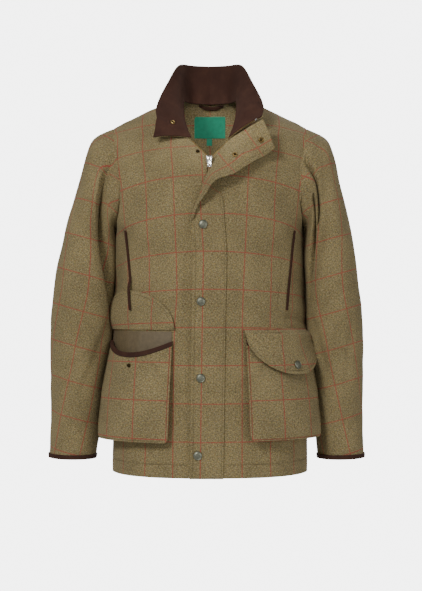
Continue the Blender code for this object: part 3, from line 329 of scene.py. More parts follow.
# Back neck
LOOP_HALF = 0.028
LOOP_X = 0.003
LOOP_TOP = 0.7765
LOOP_MOVE = np.array([0.0, -0.0032, 0.0046])
LOOP_DEEP = 0.0095
LOOP_BOW = 0.0025
LOOP_CLEAR = 0.0018
LOOP_END_SHARE = 0.35
LOOP_END_SLOPE = 1.3
LABEL_BOX = (-0.035, 0.034, 0.7115, 0.7560)
TAB_BOX = (-0.0075, 0.0045, 0.6965, 0.7108)
LABEL_THICK = 0.0010


# Curves through the rows of a table
def smooth_through(knots, values, at):
    """A curve through the rows that never overshoots them."""
    knots = np.asarray(knots, float)
    values = np.asarray(values, float)
    at = np.asarray(at, float)
    step = np.diff(knots)
    rise = np.diff(values) / step
    slope = np.zeros(len(knots))
    slope[0] = rise[0]
    slope[-1] = rise[-1]
    for i in range(1, len(knots) - 1):
        if rise[i - 1] * rise[i] > 0:
            slope[i] = 2.0 / (1.0 / rise[i - 1] + 1.0 / rise[i])
    i = np.clip(np.searchsorted(knots, at, side="right") - 1, 0, len(step) - 1)
    t = (at - knots[i]) / step[i]
    start = (1 + 2 * t) * (1 - t) ** 2 * values[i] + t * (1 - t) ** 2 * step[i] * slope[i]
    finish = t * t * (3 - 2 * t) * values[i + 1] + t * t * (t - 1) * step[i] * slope[i + 1]
    return start + finish


def column(rows, name, at):
    return smooth_through([row[0] for row in rows], [getattr(row, name) for row in rows], at)


def ease(t):
    t = np.clip(t, 0.0, 1.0)
    return t * t * (3 - 2 * t)


def unit(v):
    return v / np.linalg.norm(v, axis=-1, keepdims=True)


# The garment's form
def sleeve_folds(side, along, angle):
    """How far the folds press a place in, as a share of its radius, and how far round they move it.
    The inner line beside the body keeps only the folds that both sleeves share."""
    total = np.zeros(np.broadcast(along, angle).shape)
    round_by = np.zeros(total.shape)
    inner = 1 - ease((np.abs(np.degrees(angle)) - INNER_FROM) / (INNER_TO - INNER_FROM))
    for fold in SLEEVE_FOLDS:
        if fold.side not in (0, side):
            continue
        run = np.clip((along - fold.start) / (fold.end - fold.start), 0.0, 1.0)
        middle = fold.angle_start + (fold.angle_end - fold.angle_start) * run
        away = (np.degrees(angle) - middle + 180.0) % 360.0 - 180.0
        width = np.where(away > 0, fold.width_high, fold.width_low)
        mean_radius = column(SLEEVE, "depth", along)
        swell = np.sin(np.pi * run) ** FOLD_SWELL
        press = fold.depth / mean_radius * swell * np.exp(-((away / width) ** 2))
        total = total + (press if fold.side == 0 else press * inner)
        reach = np.where(away * fold.lap > 0, LAP_NARROW, LAP_WIDE)
        round_by = round_by + np.radians(fold.lap) * inner * swell * np.exp(-((away / reach) ** 2))
    return total, round_by


def sleeve_point(side, along, angle, folds=True):
    """A point of the sleeve; along 0 is the armhole seam. Angle 0 is the outer line, front positive."""
    outer_x = column(SLEEVE, "outer_x", along) + SLEEVE_SWAY[side] * column(SLEEVE, "sway_out", along)
    inner_x = column(SLEEVE, "inner_x", along) + SLEEVE_SWAY[side] * column(SLEEVE, "sway_in", along)
    outer_h, inner_h = column(SLEEVE, "outer_h", along), column(SLEEVE, "inner_h", along)
    press = 1.0
    if folds:
        depth, round_by = sleeve_folds(side, along, angle)
        press = 1.0 - depth
        angle = angle + round_by
    across, round_ = np.cos(angle), np.sin(angle)
    x = (outer_x + inner_x) / 2 + (outer_x - inner_x) / 2 * across * press
    x = x - column(SLEEVE, "dip_x", along) * round_ ** 2
    h = (outer_h + inner_h) / 2 + (outer_h - inner_h) / 2 * across * press
    h = h - column(SLEEVE, "dip_h", along) * round_ ** 2
    y = column(SLEEVE, "centre_y", along) - column(SLEEVE, "depth", along) * round_ * press
    return np.stack(np.broadcast_arrays(side * x, y, h), axis=-1)


def row_ends(face, level):
    """The two ends of a panel's rows. Level 0 is the hem, 1 the underarm and 2 the shoulder seam."""
    level = np.asarray(level, float)
    below = level <= 1
    height = np.minimum(level, 1.0) * UNDERARM
    share = np.maximum(level - 1.0, 0.0)
    edge = FRONT_EDGE if face == FRONT else BACK_EDGE
    deep = column(TORSO, "front" if face == FRONT else "back", height)
    armhole = sleeve_point(LEFT, 0.0, face * math.pi * (1 - share), folds=False)
    return {
        "in_x": np.where(below, ZIP_HALF_GAP if face == FRONT else 0.0, column(edge, "x", share)),
        "in_y": np.where(below, -face * deep, column(edge, "y", share)),
        "in_h": np.where(below, height, column(edge, "height", share)),
        "out_x": np.where(below, column(TORSO, "half_width", height), armhole[..., 0]),
        "out_y": np.where(below, column(TORSO, "side", height), armhole[..., 1]),
        "out_h": np.where(below, height, armhole[..., 2]),
        "flat": ease(share / CHEST_TURN),
        "square": column(TORSO, "square", height),
    }


def along_row(ends, across):
    """Places along panel rows: across 0 is the centre or neck edge, 1 the side seam or armhole."""
    rounded = (1 - across ** ends["square"]) ** (1 / ends["square"])
    wrap = (1 - ends["flat"]) * rounded + ends["flat"] * (1 - across ** CHEST_FLATNESS)
    x = ends["in_x"] + (ends["out_x"] - ends["in_x"]) * across
    y = ends["out_y"] + (ends["in_y"] - ends["out_y"]) * wrap
    h = ends["in_h"] + (ends["out_h"] - ends["in_h"]) * across ** SHOULDER_BOW
    return x, y, h


def panel_row(face, side, level, across):
    """A row of a front or of half the back."""
    x, y, h = along_row(row_ends(face, level), np.asarray(across, float))
    return np.stack(np.broadcast_arrays(side * x, y, h), axis=-1)


# Look-up grids of the body's surface, so that what lies on it can be placed by x or by distance round
TABLE_X = np.linspace(0.0, 0.200, 161)
TABLE_H = np.linspace(-0.010, 0.780, 396)
TABLE_GIRTH = np.linspace(0.0, 0.300, 201)
TABLE_LOW_H = np.linspace(0.0, UNDERARM, 126)
FINE_ACROSS = np.sin(np.linspace(0, math.pi / 2, 240))
NEAR = 0.0025
SURFACE_LEVELS = 801
LAST_SHARE = 0.999
PAST_LAST = 1.001


def surface_table(face):
    """How far forward or back a front or the back lies, by x and height."""
    ends = row_ends(face, np.linspace(0, 2, SURFACE_LEVELS))
    table = []
    for x in TABLE_X:
        reach = np.clip((x - ends["in_x"]) / (ends["out_x"] - ends["in_x"]), 0.0, LAST_SHARE)
        _, y, heights = along_row(ends, reach)
        top = int(np.argmax(heights)) + 1
        table.append(np.interp(TABLE_H, heights[:top], y[:top]))
    return np.array(table)


def girth_table():
    """Points of the left front, by height and by distance round from the centre."""
    table = []
    for h in TABLE_LOW_H:
        line = panel_row(FRONT, LEFT, h / UNDERARM, FINE_ACROSS)
        run = np.concatenate([[0.0], np.cumsum(np.linalg.norm(np.diff(line, axis=0), axis=1))]) + ZIP_HALF_GAP
        table.append(np.stack([np.interp(TABLE_GIRTH, run, line[:, k]) for k in range(3)], axis=-1))
    return np.array(table)


def between(table, first, second, a, b):
    """Reads a look-up grid between its rows and columns."""
    a, b = np.broadcast_arrays(np.asarray(a, float), np.asarray(b, float))
    i = np.clip((a - first[0]) / (first[1] - first[0]), 0, len(first) - PAST_LAST)
    j = np.clip((b - second[0]) / (second[1] - second[0]), 0, len(second) - PAST_LAST)
    i0, j0 = i.astype(int), j.astype(int)
    s, t = i - i0, j - j0
    if table.ndim == 3:
        s, t = s[..., None], t[..., None]
    low = table[i0, j0] * (1 - t) + table[i0, j0 + 1] * t
    high = table[i0 + 1, j0] * (1 - t) + table[i0 + 1, j0 + 1] * t
    return low * (1 - s) + high * s


SURFACE = {FRONT: surface_table(FRONT), BACK: surface_table(BACK)}
GIRTHS = girth_table()


def surface_point(face, x, h):
    y = between(SURFACE[face], TABLE_X, TABLE_H, np.abs(x), h)
    return np.stack(np.broadcast_arrays(x, y, h), axis=-1)


def surface_frame(face, x, h):
    """The point of a front or of the back at this x and height, and the direction out of the cloth there."""
    x, h = np.broadcast_arrays(np.asarray(x, float), np.asarray(h, float))
    beside = surface_point(face, x + NEAR, h) - surface_point(face, x - NEAR, h)
    above = surface_point(face, x, h + NEAR) - surface_point(face, x, h - NEAR)
    return surface_point(face, x, h), unit(np.cross(beside, above)) * face


def girth_point(side, h, girth):
    return between(GIRTHS, TABLE_LOW_H, TABLE_GIRTH, h, girth) * np.array([side, 1.0, 1.0])


def girth_frame(side, h, girth):
    """A point of a front by its distance round from the centre, and the direction out of it."""
    h, girth = np.broadcast_arrays(np.asarray(h, float), np.asarray(girth, float))
    beside = girth_point(side, h, girth + NEAR) - girth_point(side, h, girth - NEAR)
    above = girth_point(side, h + NEAR, girth) - girth_point(side, h - NEAR, girth)
    return girth_point(side, h, girth), unit(np.cross(beside, above)) * side


def girth_of_x(h, x):
    line = girth_point(LEFT, h, TABLE_GIRTH)
    return float(np.interp(abs(x), line[:, 0], TABLE_GIRTH))


# Windowpane check of the cloth: its repeat, and where it starts on each front
CHECK_ACROSS = 0.0605
CHECK_DOWN = 0.0757
CHECK_HEIGHT = 0.4508
SHOULDER_FROM = 0.615
SHOULDER_STRETCH = {FRONT: 1.30, BACK: 1.126}
SHOULDER_TOP = {FRONT: 0.035, BACK: 0.060}
SHOULDER_DEEPER = 0.9
SIDE_REACH = 0.18
Line = namedtuple("Line", "height round")
CHECK_LINE = {
    RIGHT: (
        Line(-0.01, 0.0745),
        Line(0.08, 0.0738),
        Line(0.29, 0.0712),
        Line(0.374, 0.0662),
        Line(0.526, 0.0712),
        Line(0.66, 0.0785),
        Line(0.90, 0.0900),
    ),
    LEFT: (
        Line(-0.01, 0.0640),
        Line(0.30, 0.0648),
        Line(0.374, 0.0675),
        Line(0.526, 0.0740),
        Line(0.66, 0.0815),
        Line(0.90, 0.0930),
    ),
}
Sag = namedtuple("Sag", "height drop")
CHECK_SAG = (
    Sag(-0.01, 0.000),
    Sag(0.20, 0.000),
    Sag(0.30, 0.004),
    Sag(0.374, 0.009),
    Sag(0.45, 0.0176),
    Sag(0.526, 0.0235),
    Sag(0.60, 0.0210),
    Sag(0.90, 0.0210),
)


def check_height(h, run, face=FRONT):
    """Height along the cloth's own grain, which sags towards the sides of the chest."""
    grown = SHOULDER_FROM + (h - SHOULDER_FROM) * SHOULDER_STRETCH[face]
    grown = np.where(h > SHOULDER_FROM, grown, h)
    return grown + column(CHECK_SAG, "drop", h) * (run / SIDE_REACH) ** 2 - CHECK_HEIGHT


def front_check(side, h, run):
    """Cloth coordinates on a front, from the height and the distance round from the centre."""
    across = run - column(CHECK_LINE[side], "round", h)
    return np.stack(np.broadcast_arrays(across, check_height(h, run)), axis=-1)


# Soft creases of the body: ends by x and height, depth out of the cloth in metres, and half width
Crease = namedtuple("Crease", "x0 h0 x1 h1 depth width")
FRONT_CREASES = (
    Crease(-0.0435, 0.500, -0.0480, 0.002, -0.0034, 0.0040),
    Crease(-0.050, 0.455, -0.054, 0.268, -0.0030, 0.0075),
    Crease(-0.066, 0.440, -0.068, 0.300, 0.0012, 0.0090),
    Crease(0.152, 0.318, 0.203, 0.306, -0.0034, 0.0065),
    Crease(0.150, 0.338, 0.203, 0.330, 0.0012, 0.0090),
    Crease(-0.178, 0.500, -0.198, 0.372, -0.0040, 0.0080),
    Crease(0.186, 0.520, 0.199, 0.350, -0.0036, 0.0075),
    Crease(-0.176, 0.600, -0.150, 0.545, -0.0016, 0.0100),
    Crease(0.172, 0.615, 0.140, 0.548, -0.0016, 0.0110),
    Crease(0.052, 0.430, 0.060, 0.310, -0.0015, 0.0120),
    Crease(-0.120, 0.470, -0.105, 0.392, -0.0012, 0.0130),
    Crease(0.105, 0.480, 0.098, 0.360, -0.0011, 0.0140),
    Crease(-0.135, 0.066, -0.128, 0.004, -0.0018, 0.0100),
    Crease(0.118, 0.070, 0.110, 0.004, -0.0016, 0.0120),
    Crease(0.060, 0.180, 0.066, 0.030, -0.0010, 0.0120),
    Crease(-0.062, 0.060, -0.070, 0.004, -0.0010, 0.0100),
)
BACK_CREASES = (
    Crease(-0.186, 0.520, -0.120, 0.430, -0.0040, 0.0090),
    Crease(0.184, 0.515, 0.130, 0.415, -0.0036, 0.0100),
    Crease(-0.150, 0.585, -0.182, 0.520, -0.0026, 0.0110),
    Crease(0.156, 0.600, 0.184, 0.535, -0.0024, 0.0100),
    Crease(-0.070, 0.372, 0.045, 0.350, -0.0026, 0.0110),
    Crease(-0.030, 0.402, 0.095, 0.386, -0.0020, 0.0120),
    Crease(-0.130, 0.350, -0.050, 0.322, -0.0020, 0.0110),
    Crease(0.060, 0.330, 0.150, 0.342, -0.0022, 0.0100),
    Crease(-0.110, 0.180, -0.120, 0.008, -0.0022, 0.0160),
    Crease(0.070, 0.170, 0.082, 0.006, -0.0026, 0.0180),
    Crease(-0.020, 0.150, -0.028, 0.006, -0.0016, 0.0150),
    Crease(-0.045, 0.690, -0.110, 0.655, -0.0018, 0.0120),
    Crease(0.050, 0.695, 0.104, 0.650, -0.0018, 0.0120),
)
SIDE_SWELL = 0.0042
SIDE_SWELL_WIDE = 0.045
SIDE_SWELL_HEIGHTS = (0.10, 0.20, 0.480, 0.502)
SEAM_DIP = 0.0011
SEAM_REACH = 0.0035
HEM_LINE = 0.027
HEM_DIP = 0.0005
HEM_REACH = 0.0016
CREASE_BOW = 0.6
CREASE_FADE = 2.5

# Slow unevenness of all the cloth: height, and wave lengths across and along
Waver = namedtuple("Waver", "height across along start")
CLOTH_WAVER = (
    Waver(0.00035, 0.083, 0.210, 0.4),
    Waver(0.00030, -0.127, 0.097, 1.9),
    Waver(0.00018, 0.047, -0.066, 3.3),
)


def waver(uv):
    total = np.zeros(uv.shape[:-1])
    for wave in CLOTH_WAVER:
        turns = uv[..., 0] / wave.across + uv[..., 1] / wave.along
        total += wave.height * np.sin(2 * math.pi * turns + wave.start)
    return total


def crease_depth(creases, x, h):
    """How far the creases move the cloth out of its form."""
    total = np.zeros(np.shape(x))
    for crease in creases:
        dx, dh = crease.x1 - crease.x0, crease.h1 - crease.h0
        length = math.hypot(dx, dh)
        along = ((x - crease.x0) * dx + (h - crease.h0) * dh) / length
        aside = ((x - crease.x0) * dh - (h - crease.h0) * dx) / length
        aside = aside + crease.width * CREASE_BOW * np.sin(math.pi * along / length)
        ends = ease((along + crease.width) / (CREASE_FADE * crease.width))
        ends = ends * ease((length + crease.width - along) / (CREASE_FADE * crease.width))
        total += crease.depth * ends * np.exp(-((aside / crease.width) ** 2))
    return total


def grid_normals(grid, toward, test=None):
    """Directions straight off a grid, on the side that `toward` points to at a test place."""
    normals = unit(np.cross(np.gradient(grid, axis=1), np.gradient(grid, axis=0)))
    i, j = test or (grid.shape[0] // 2, grid.shape[1] // 2)
    return normals if np.dot(normals[i, j], toward) > 0 else -normals


def run_along(grid, axis):
    """Distances along the rows or columns of a grid from their first point."""
    steps = np.linalg.norm(np.diff(grid, axis=axis), axis=-1)
    total = np.cumsum(steps, axis=axis)
    return np.concatenate([np.zeros_like(np.take(total, [0], axis=axis)), total], axis=axis)


def line_run(points):
    """Distances along a line of points from its first."""
    return run_along(points[:, None], 0)[:, 0]


def spread(at, run, values):
    """The rows of a line, read at distances along it."""
    return np.stack([np.interp(at, run, values[:, k]) for k in range(3)], axis=-1)


# Making objects
MERGE = 1e-6
MERGE_HALVES = 1e-5
RIM_SHARE = 0.4
RIM_SEGMENTS = 2
RIM_ANGLE = 55
FITTING_SMOOTH = 38
BAND_SMOOTH = 60
BLOCK_SMOOTH = 30
METAL_SMOOTH = 40
BLOCK_BEVEL = 0.22


def lowered(points):
    return np.asarray(points, float) - np.array([0.0, 0.0, NECK_ABOVE_HEM])


def grid_object(name, grid, uv, toward, test=None, closed=False):
    """A grid primitive with its vertices put on the given form; its faces look to the side `toward`."""
    rows, columns = grid.shape[:2]
    bpy.ops.mesh.primitive_grid_add(
        x_subdivisions=columns - 1, y_subdivisions=rows - 1, size=1.0, location=(0, 0, 0)
    )
    obj = bpy.context.object
    obj.name = name
    mesh = obj.data
    mesh.name = name
    mesh.vertices.foreach_set("co", lowered(grid).reshape(-1).astype(np.float32))
    corners = np.zeros(len(mesh.loops), dtype=np.int32)
    mesh.loops.foreach_get("vertex_index", corners)
    layer = mesh.uv_layers[0]
    layer.name = "cloth"
    layer.data.foreach_set("uv", uv.reshape(-1, 2)[corners].reshape(-1).astype(np.float32))
    mesh.update()
    normals = unit(np.cross(np.gradient(grid, axis=1), np.gradient(grid, axis=0)))
    i, j = test or (rows // 2, columns // 2)
    bpy.ops.object.mode_set(mode="EDIT")
    bpy.ops.mesh.select_all(action="SELECT")
    if np.dot(normals[i, j], toward) < 0:
        bpy.ops.mesh.flip_normals()
    if closed:
        bpy.ops.mesh.remove_doubles(threshold=MERGE)
    bpy.ops.object.mode_set(mode="OBJECT")
    return obj


def thicken(obj, thickness):
    """Gives a grid its thickness behind the face that shows, and rounds its edges."""
    bpy.context.view_layer.objects.active = obj
    wall = obj.modifiers.new("wall", "SOLIDIFY")
    wall.thickness = thickness
    wall.offset = -1.0
    wall.use_quality_normals = True
    bpy.ops.object.modifier_apply(modifier="wall")
    rim = obj.modifiers.new("rim", "BEVEL")
    rim.width = thickness * RIM_SHARE
    rim.segments = RIM_SEGMENTS
    rim.limit_method = "ANGLE"
    rim.angle_limit = math.radians(RIM_ANGLE)
    bpy.ops.object.modifier_apply(modifier="rim")
    bpy.ops.object.shade_smooth()
    return obj


def join(objects, name):
    """Joins objects into the first and merges points that meet."""
    bpy.ops.object.select_all(action="DESELECT")
    for obj in objects:
        obj.select_set(True)
    bpy.context.view_layer.objects.active = objects[0]
    bpy.ops.object.join()
    objects[0].name = name
    objects[0].data.name = name
    bpy.ops.object.mode_set(mode="EDIT")
    bpy.ops.mesh.select_all(action="SELECT")
    bpy.ops.mesh.remove_doubles(threshold=MERGE_HALVES)
    bpy.ops.object.mode_set(mode="OBJECT")
    return objects[0]


def dress(obj, material, slot, *nodes, body="jacket"):
    """Gives a piece its finish, hangs it on its body and hides the solids it stands for."""
    obj.data.materials.clear()
    obj.data.materials.append(material)
    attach(obj, body)
    if nodes:
        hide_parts(*nodes)
    return obj


def cloth_piece(name, grid, uv, toward, thickness, material, slot, test=None, closed=False):
    """A piece of cloth on its form, with its thickness and finish, that stands for its solid."""
    obj = thicken(grid_object(name + "_cloth", grid, uv, toward, test, closed), thickness)
    return dress(obj, material, slot, name)


def turn_outward(smooth_angle):
    """Turns all faces of the piece in hand outward, and smooths it where it bends by less than an angle."""
    bpy.ops.object.mode_set(mode="EDIT")
    bpy.ops.mesh.select_all(action="SELECT")
    bpy.ops.mesh.normals_make_consistent(inside=False)
    bpy.ops.object.mode_set(mode="OBJECT")
    bpy.ops.object.shade_smooth_by_angle(angle=math.radians(smooth_angle))


def frame_matrix(point, direction, up=(0.0, 0.0, 1.0)):
    """A transform that stands a shape made along +Z on a point, facing a direction."""
    z = Vector(direction).normalized()
    x = Vector(up).cross(z).normalized()
    y = z.cross(x)
    turn = Matrix((x, y, z)).transposed().to_4x4()
    return Matrix.Translation(Vector(lowered(point))) @ turn


def spun(name, profile, segments):
    """A shape turned about Z from rows of radius and height, outer face outward."""
    angles = np.linspace(0, 2 * math.pi, segments + 1)
    radius, height = np.array(profile).T
    grid = np.stack(
        [
            np.cos(angles)[:, None] * radius[None, :],
            np.sin(angles)[:, None] * radius[None, :],
            np.broadcast_to(height, (segments + 1, len(height))) + NECK_ABOVE_HEM,
        ],
        axis=-1,
    )
    uv = np.stack(np.broadcast_arrays(angles[:, None], height[None, :]), axis=-1)
    obj = grid_object(name, grid, uv, FORWARD, closed=True)
    turn_outward(FITTING_SMOOTH)
    return obj


# Materials
def node(tree, kind, inputs=None, **settings):
    """Adds a node; inputs take a value or another node's output."""
    made = tree.nodes.new(kind)
    for name, value in settings.items():
        setattr(made, name, value)
    for name, value in (inputs or {}).items():
        if isinstance(value, bpy.types.NodeSocket):
            tree.links.new(value, made.inputs[name])
        else:
            made.inputs[name].default_value = value
    return made


def new_material(name, roughness, metallic=0.0):
    material = bpy.data.materials.new(name)
    material.use_nodes = True
    tree = material.node_tree
    shader = tree.nodes["Principled BSDF"]
    shader.inputs["Roughness"].default_value = roughness
    shader.inputs["Metallic"].default_value = metallic
    return material, tree, shader


def colour(red, green, blue):
    """A colour as seen on screen, 0 to 255, as light."""
    shares = [value / 255.0 for value in (red, green, blue)]
    light = [s / 12.92 if s <= 0.04045 else ((s + 0.055) / 1.055) ** 2.4 for s in shares]
    return (*light, 1.0)


def noise(tree, place, scale, detail=2.0, roughness=0.5):
    inputs = {"Vector": place, "Scale": scale, "Detail": detail, "Roughness": roughness}
    return node(tree, "ShaderNodeTexNoise", inputs).outputs["Fac"]


def math_node(tree, operation, a, b=0.0):
    return node(tree, "ShaderNodeMath", {0: a, 1: b}, operation=operation).outputs[0]


def span(tree, value, low, high, to_low=0.0, to_high=1.0):
    made = node(
        tree,
        "ShaderNodeMapRange",
        {"Value": value, "From Min": low, "From Max": high, "To Min": to_low, "To Max": to_high},
        interpolation_type="SMOOTHSTEP",
    )
    return made.outputs["Result"]


def sine(tree, along, turns):
    """The sine of a place along the cloth, with the radians in a metre."""
    return math_node(tree, "SINE", math_node(tree, "MULTIPLY", along, turns))


def blend(tree, share, a, b):
    """A value between two others."""
    return node(tree, "ShaderNodeMix", {0: share, 2: a, 3: b}).outputs[0]


def mix(tree, share, a, b):
    """A colour between two others."""
    return node(tree, "ShaderNodeMix", {0: share, 6: a, 7: b}, data_type="RGBA").outputs[2]


def ramp(tree, value, stops):
    made = node(tree, "ShaderNodeValToRGB", {"Fac": value})
    elements = made.color_ramp.elements
    while len(elements) < len(stops):
        elements.new(0.5)
    for element, (position, shade) in zip(elements, stops):
        element.position = position
        element.color = shade
    return made.outputs["Color"]


def bump(tree, shader, height, strength, distance):
    made = node(tree, "ShaderNodeBump", {"Height": height, "Strength": strength, "Distance": distance})
    tree.links.new(made.outputs["Normal"], shader.inputs["Normal"])


# Tweed: the ground's shades, coloured flecks by size and share of the cloth, the red check and the weave
TWEED_GROUND = (
    (0.36, colour(80, 70, 48)),
    (0.46, colour(111, 99, 69)),
    (0.54, colour(131, 117, 83)),
    (0.64, colour(160, 143, 104)),
)
Fleck = namedtuple("Fleck", "shift scale least most share shade")
TWEED_FLECKS = (
    Fleck(3.1, 420.0, 0.60, 0.70, 0.75, colour(168, 146, 78)),
    Fleck(7.7, 380.0, 0.61, 0.70, 0.60, colour(92, 104, 66)),
    Fleck(12.9, 460.0, 0.62, 0.72, 0.60, colour(150, 144, 128)),
    Fleck(17.3, 350.0, 0.62, 0.71, 0.55, colour(128, 84, 50)),
    Fleck(23.5, 520.0, 0.63, 0.72, 0.70, colour(62, 54, 38)),
)
FLECK_DETAIL = 1.0
CHECK_RED = colour(152, 54, 52)
CHECK_HALF_WIDTH = 0.0009
CHECK_SOFT = 0.0006
CHECK_WAVE = 0.0012
CHECK_WAVE_NOISE = (170.0, 2.0)
CHECK_WORN_NOISE = (620.0, 2.0)
CHECK_WORN = (0.36, 0.56, 0.30, 0.92)
YARN = 0.0011
YARN_STRETCH = 0.36
YARN_OVER = 0.2
YARN_NOISE = (720.0, 2.0, 0.6)
CLOUD_SHARE = 0.26
CLOUD_NOISE = (320.0, 2.0)
NOISE_MIDDLE = (0.3, 0.7)
SLOW_SHADE = (0.90, 1.10)
SLOW_NOISE = (14.0, 3.0)
FUZZ_HEIGHT = 0.9
FUZZ_NOISE = (900.0, 3.0, 0.65)
WEAVE_BUMP = (0.45, 0.0005)
Nap = namedtuple("Nap", "roughness sheen sheen_roughness sheen_tint specular")
TWEED_NAP = Nap(0.92, 0.10, 0.55, (0.75, 0.70, 0.55, 1.0), 0.15)

# Brown trim, plain woven trims and metals
BROWN_NAP = Nap(0.85, 0.08, 0.45, (0.55, 0.36, 0.28, 1.0), 0.2)
BROWN_SHADES = ((0.30, colour(51, 29, 21)), (0.52, colour(57, 34, 25)), (0.74, colour(65, 40, 29)))
BROWN_NOISE = (38.0, 4.0, 0.6)
BROWN_FUZZ_NOISE = (1500.0, 2.0)
BROWN_BUMP = (0.25, 0.0002)
WOVEN_STOPS = (0.32, 0.68)
WOVEN_NOISE = (120.0, 4.0, 0.65)
WOVEN_BUMP = (0.35, 0.0002)
METAL_STOPS = (0.34, 0.66)
METAL_NOISE = (420.0, 4.0, 0.6)
METAL_ROUGH_NOISE = (260.0, 3.0)
METAL_SMOOTHER = 0.08
METAL_ROUGHER = 0.10
METAL_BUMP_NOISE = (900.0, 2.0)
METAL_BUMP = (0.10, 0.0001)


def give_nap(shader, nap):
    """Sets the soft sheen and dull shine of a brushed cloth."""
    shader.inputs["Sheen Weight"].default_value = nap.sheen
    shader.inputs["Sheen Roughness"].default_value = nap.sheen_roughness
    shader.inputs["Sheen Tint"].default_value = nap.sheen_tint
    shader.inputs["Specular IOR Level"].default_value = nap.specular


def tweed_material():
    """Crossing flecked yarns with a thin windowpane check, along the cloth's own map."""
    material, tree, shader = new_material("tweed", TWEED_NAP.roughness)
    place = node(tree, "ShaderNodeUVMap", uv_map="cloth").outputs["UV"]
    parts = node(tree, "ShaderNodeSeparateXYZ", {0: place})
    u, v = parts.outputs[0], parts.outputs[1]
    slant = sine(tree, math_node(tree, "ADD", u, v), math.pi / (2 * YARN))
    over = span(tree, slant, -YARN_OVER, YARN_OVER)
    yarns = []
    for stretch in ((1.0, YARN_STRETCH, 1.0), (YARN_STRETCH, 1.0, 1.0)):
        drawn = node(tree, "ShaderNodeMapping", {"Vector": place, "Scale": stretch}).outputs[0]
        yarns.append(noise(tree, drawn, *YARN_NOISE))
    tone = blend(tree, CLOUD_SHARE, blend(tree, over, *yarns), noise(tree, place, *CLOUD_NOISE))
    shade = ramp(tree, tone, TWEED_GROUND)
    for fleck in TWEED_FLECKS:
        shift = (fleck.shift, fleck.shift / 2, 0.0)
        moved = node(tree, "ShaderNodeMapping", {"Vector": place, "Location": shift})
        spots = noise(tree, moved.outputs[0], fleck.scale, FLECK_DETAIL)
        share = span(tree, spots, fleck.least, fleck.most, 0.0, fleck.share)
        shade = mix(tree, share, shade, fleck.shade)
    slow = span(tree, noise(tree, place, *SLOW_NOISE), *NOISE_MIDDLE, *SLOW_SHADE)
    shade = node(tree, "ShaderNodeVectorMath", {0: shade, 1: slow}, operation="MULTIPLY").outputs[0]
    centred = math_node(tree, "SUBTRACT", noise(tree, place, *CHECK_WAVE_NOISE), 0.5)
    waved = math_node(tree, "MULTIPLY", centred, CHECK_WAVE)
    masks = []
    for along, repeat in ((u, CHECK_ACROSS), (v, CHECK_DOWN)):
        away = math_node(tree, "PINGPONG", math_node(tree, "ADD", along, waved), repeat / 2)
        masks.append(span(tree, away, CHECK_HALF_WIDTH - CHECK_SOFT, CHECK_HALF_WIDTH + CHECK_SOFT, 1.0, 0.0))
    lines = math_node(tree, "MAXIMUM", *masks)
    worn = span(tree, noise(tree, place, *CHECK_WORN_NOISE), *CHECK_WORN)
    shade = mix(tree, math_node(tree, "MULTIPLY", lines, worn), shade, CHECK_RED)
    tree.links.new(shade, shader.inputs["Base Color"])
    warp, weft = [math_node(tree, "ABSOLUTE", sine(tree, along, math.pi / YARN)) for along in (u, v)]
    weave = blend(tree, over, warp, weft)
    fuzz = math_node(tree, "MULTIPLY", noise(tree, place, *FUZZ_NOISE), FUZZ_HEIGHT)
    bump(tree, shader, math_node(tree, "ADD", weave, fuzz), *WEAVE_BUMP)
    give_nap(shader, TWEED_NAP)
    return material


def brown_material():
    """A brushed brown cloth."""
    material, tree, shader = new_material("brown_moleskin", BROWN_NAP.roughness)
    place = node(tree, "ShaderNodeTexCoord").outputs["Object"]
    shade = ramp(tree, noise(tree, place, *BROWN_NOISE), BROWN_SHADES)
    tree.links.new(shade, shader.inputs["Base Color"])
    bump(tree, shader, noise(tree, place, *BROWN_FUZZ_NOISE), *BROWN_BUMP)
    give_nap(shader, BROWN_NAP)
    return material


def woven_material(name, low, high, roughness, rib, sheen=0.0):
    """A plain woven trim with fine ribs along its own map."""
    material, tree, shader = new_material(name, roughness)
    place = node(tree, "ShaderNodeUVMap", uv_map="cloth").outputs["UV"]
    parts = node(tree, "ShaderNodeSeparateXYZ", {0: place})
    shade = ramp(tree, noise(tree, place, *WOVEN_NOISE), list(zip(WOVEN_STOPS, (low, high))))
    tree.links.new(shade, shader.inputs["Base Color"])
    ribs, cross = [sine(tree, parts.outputs[k], 2 * math.pi / rib) for k in range(2)]
    bump(tree, shader, math_node(tree, "MULTIPLY", ribs, cross), *WOVEN_BUMP)
    shader.inputs["Sheen Weight"].default_value = sheen
    return material


def metal_material(name, low, high, roughness):
    """A worn metal: shades and roughness wander a little."""
    material, tree, shader = new_material(name, roughness, 1.0)
    place = node(tree, "ShaderNodeTexCoord").outputs["Object"]
    shade = ramp(tree, noise(tree, place, *METAL_NOISE), list(zip(METAL_STOPS, (low, high))))
    tree.links.new(shade, shader.inputs["Base Color"])
    wear = noise(tree, place, *METAL_ROUGH_NOISE)
    rough = span(tree, wear, *NOISE_MIDDLE, roughness - METAL_SMOOTHER, roughness + METAL_ROUGHER)
    tree.links.new(rough, shader.inputs["Roughness"])
    bump(tree, shader, noise(tree, place, *METAL_BUMP_NOISE), *METAL_BUMP)
    return material


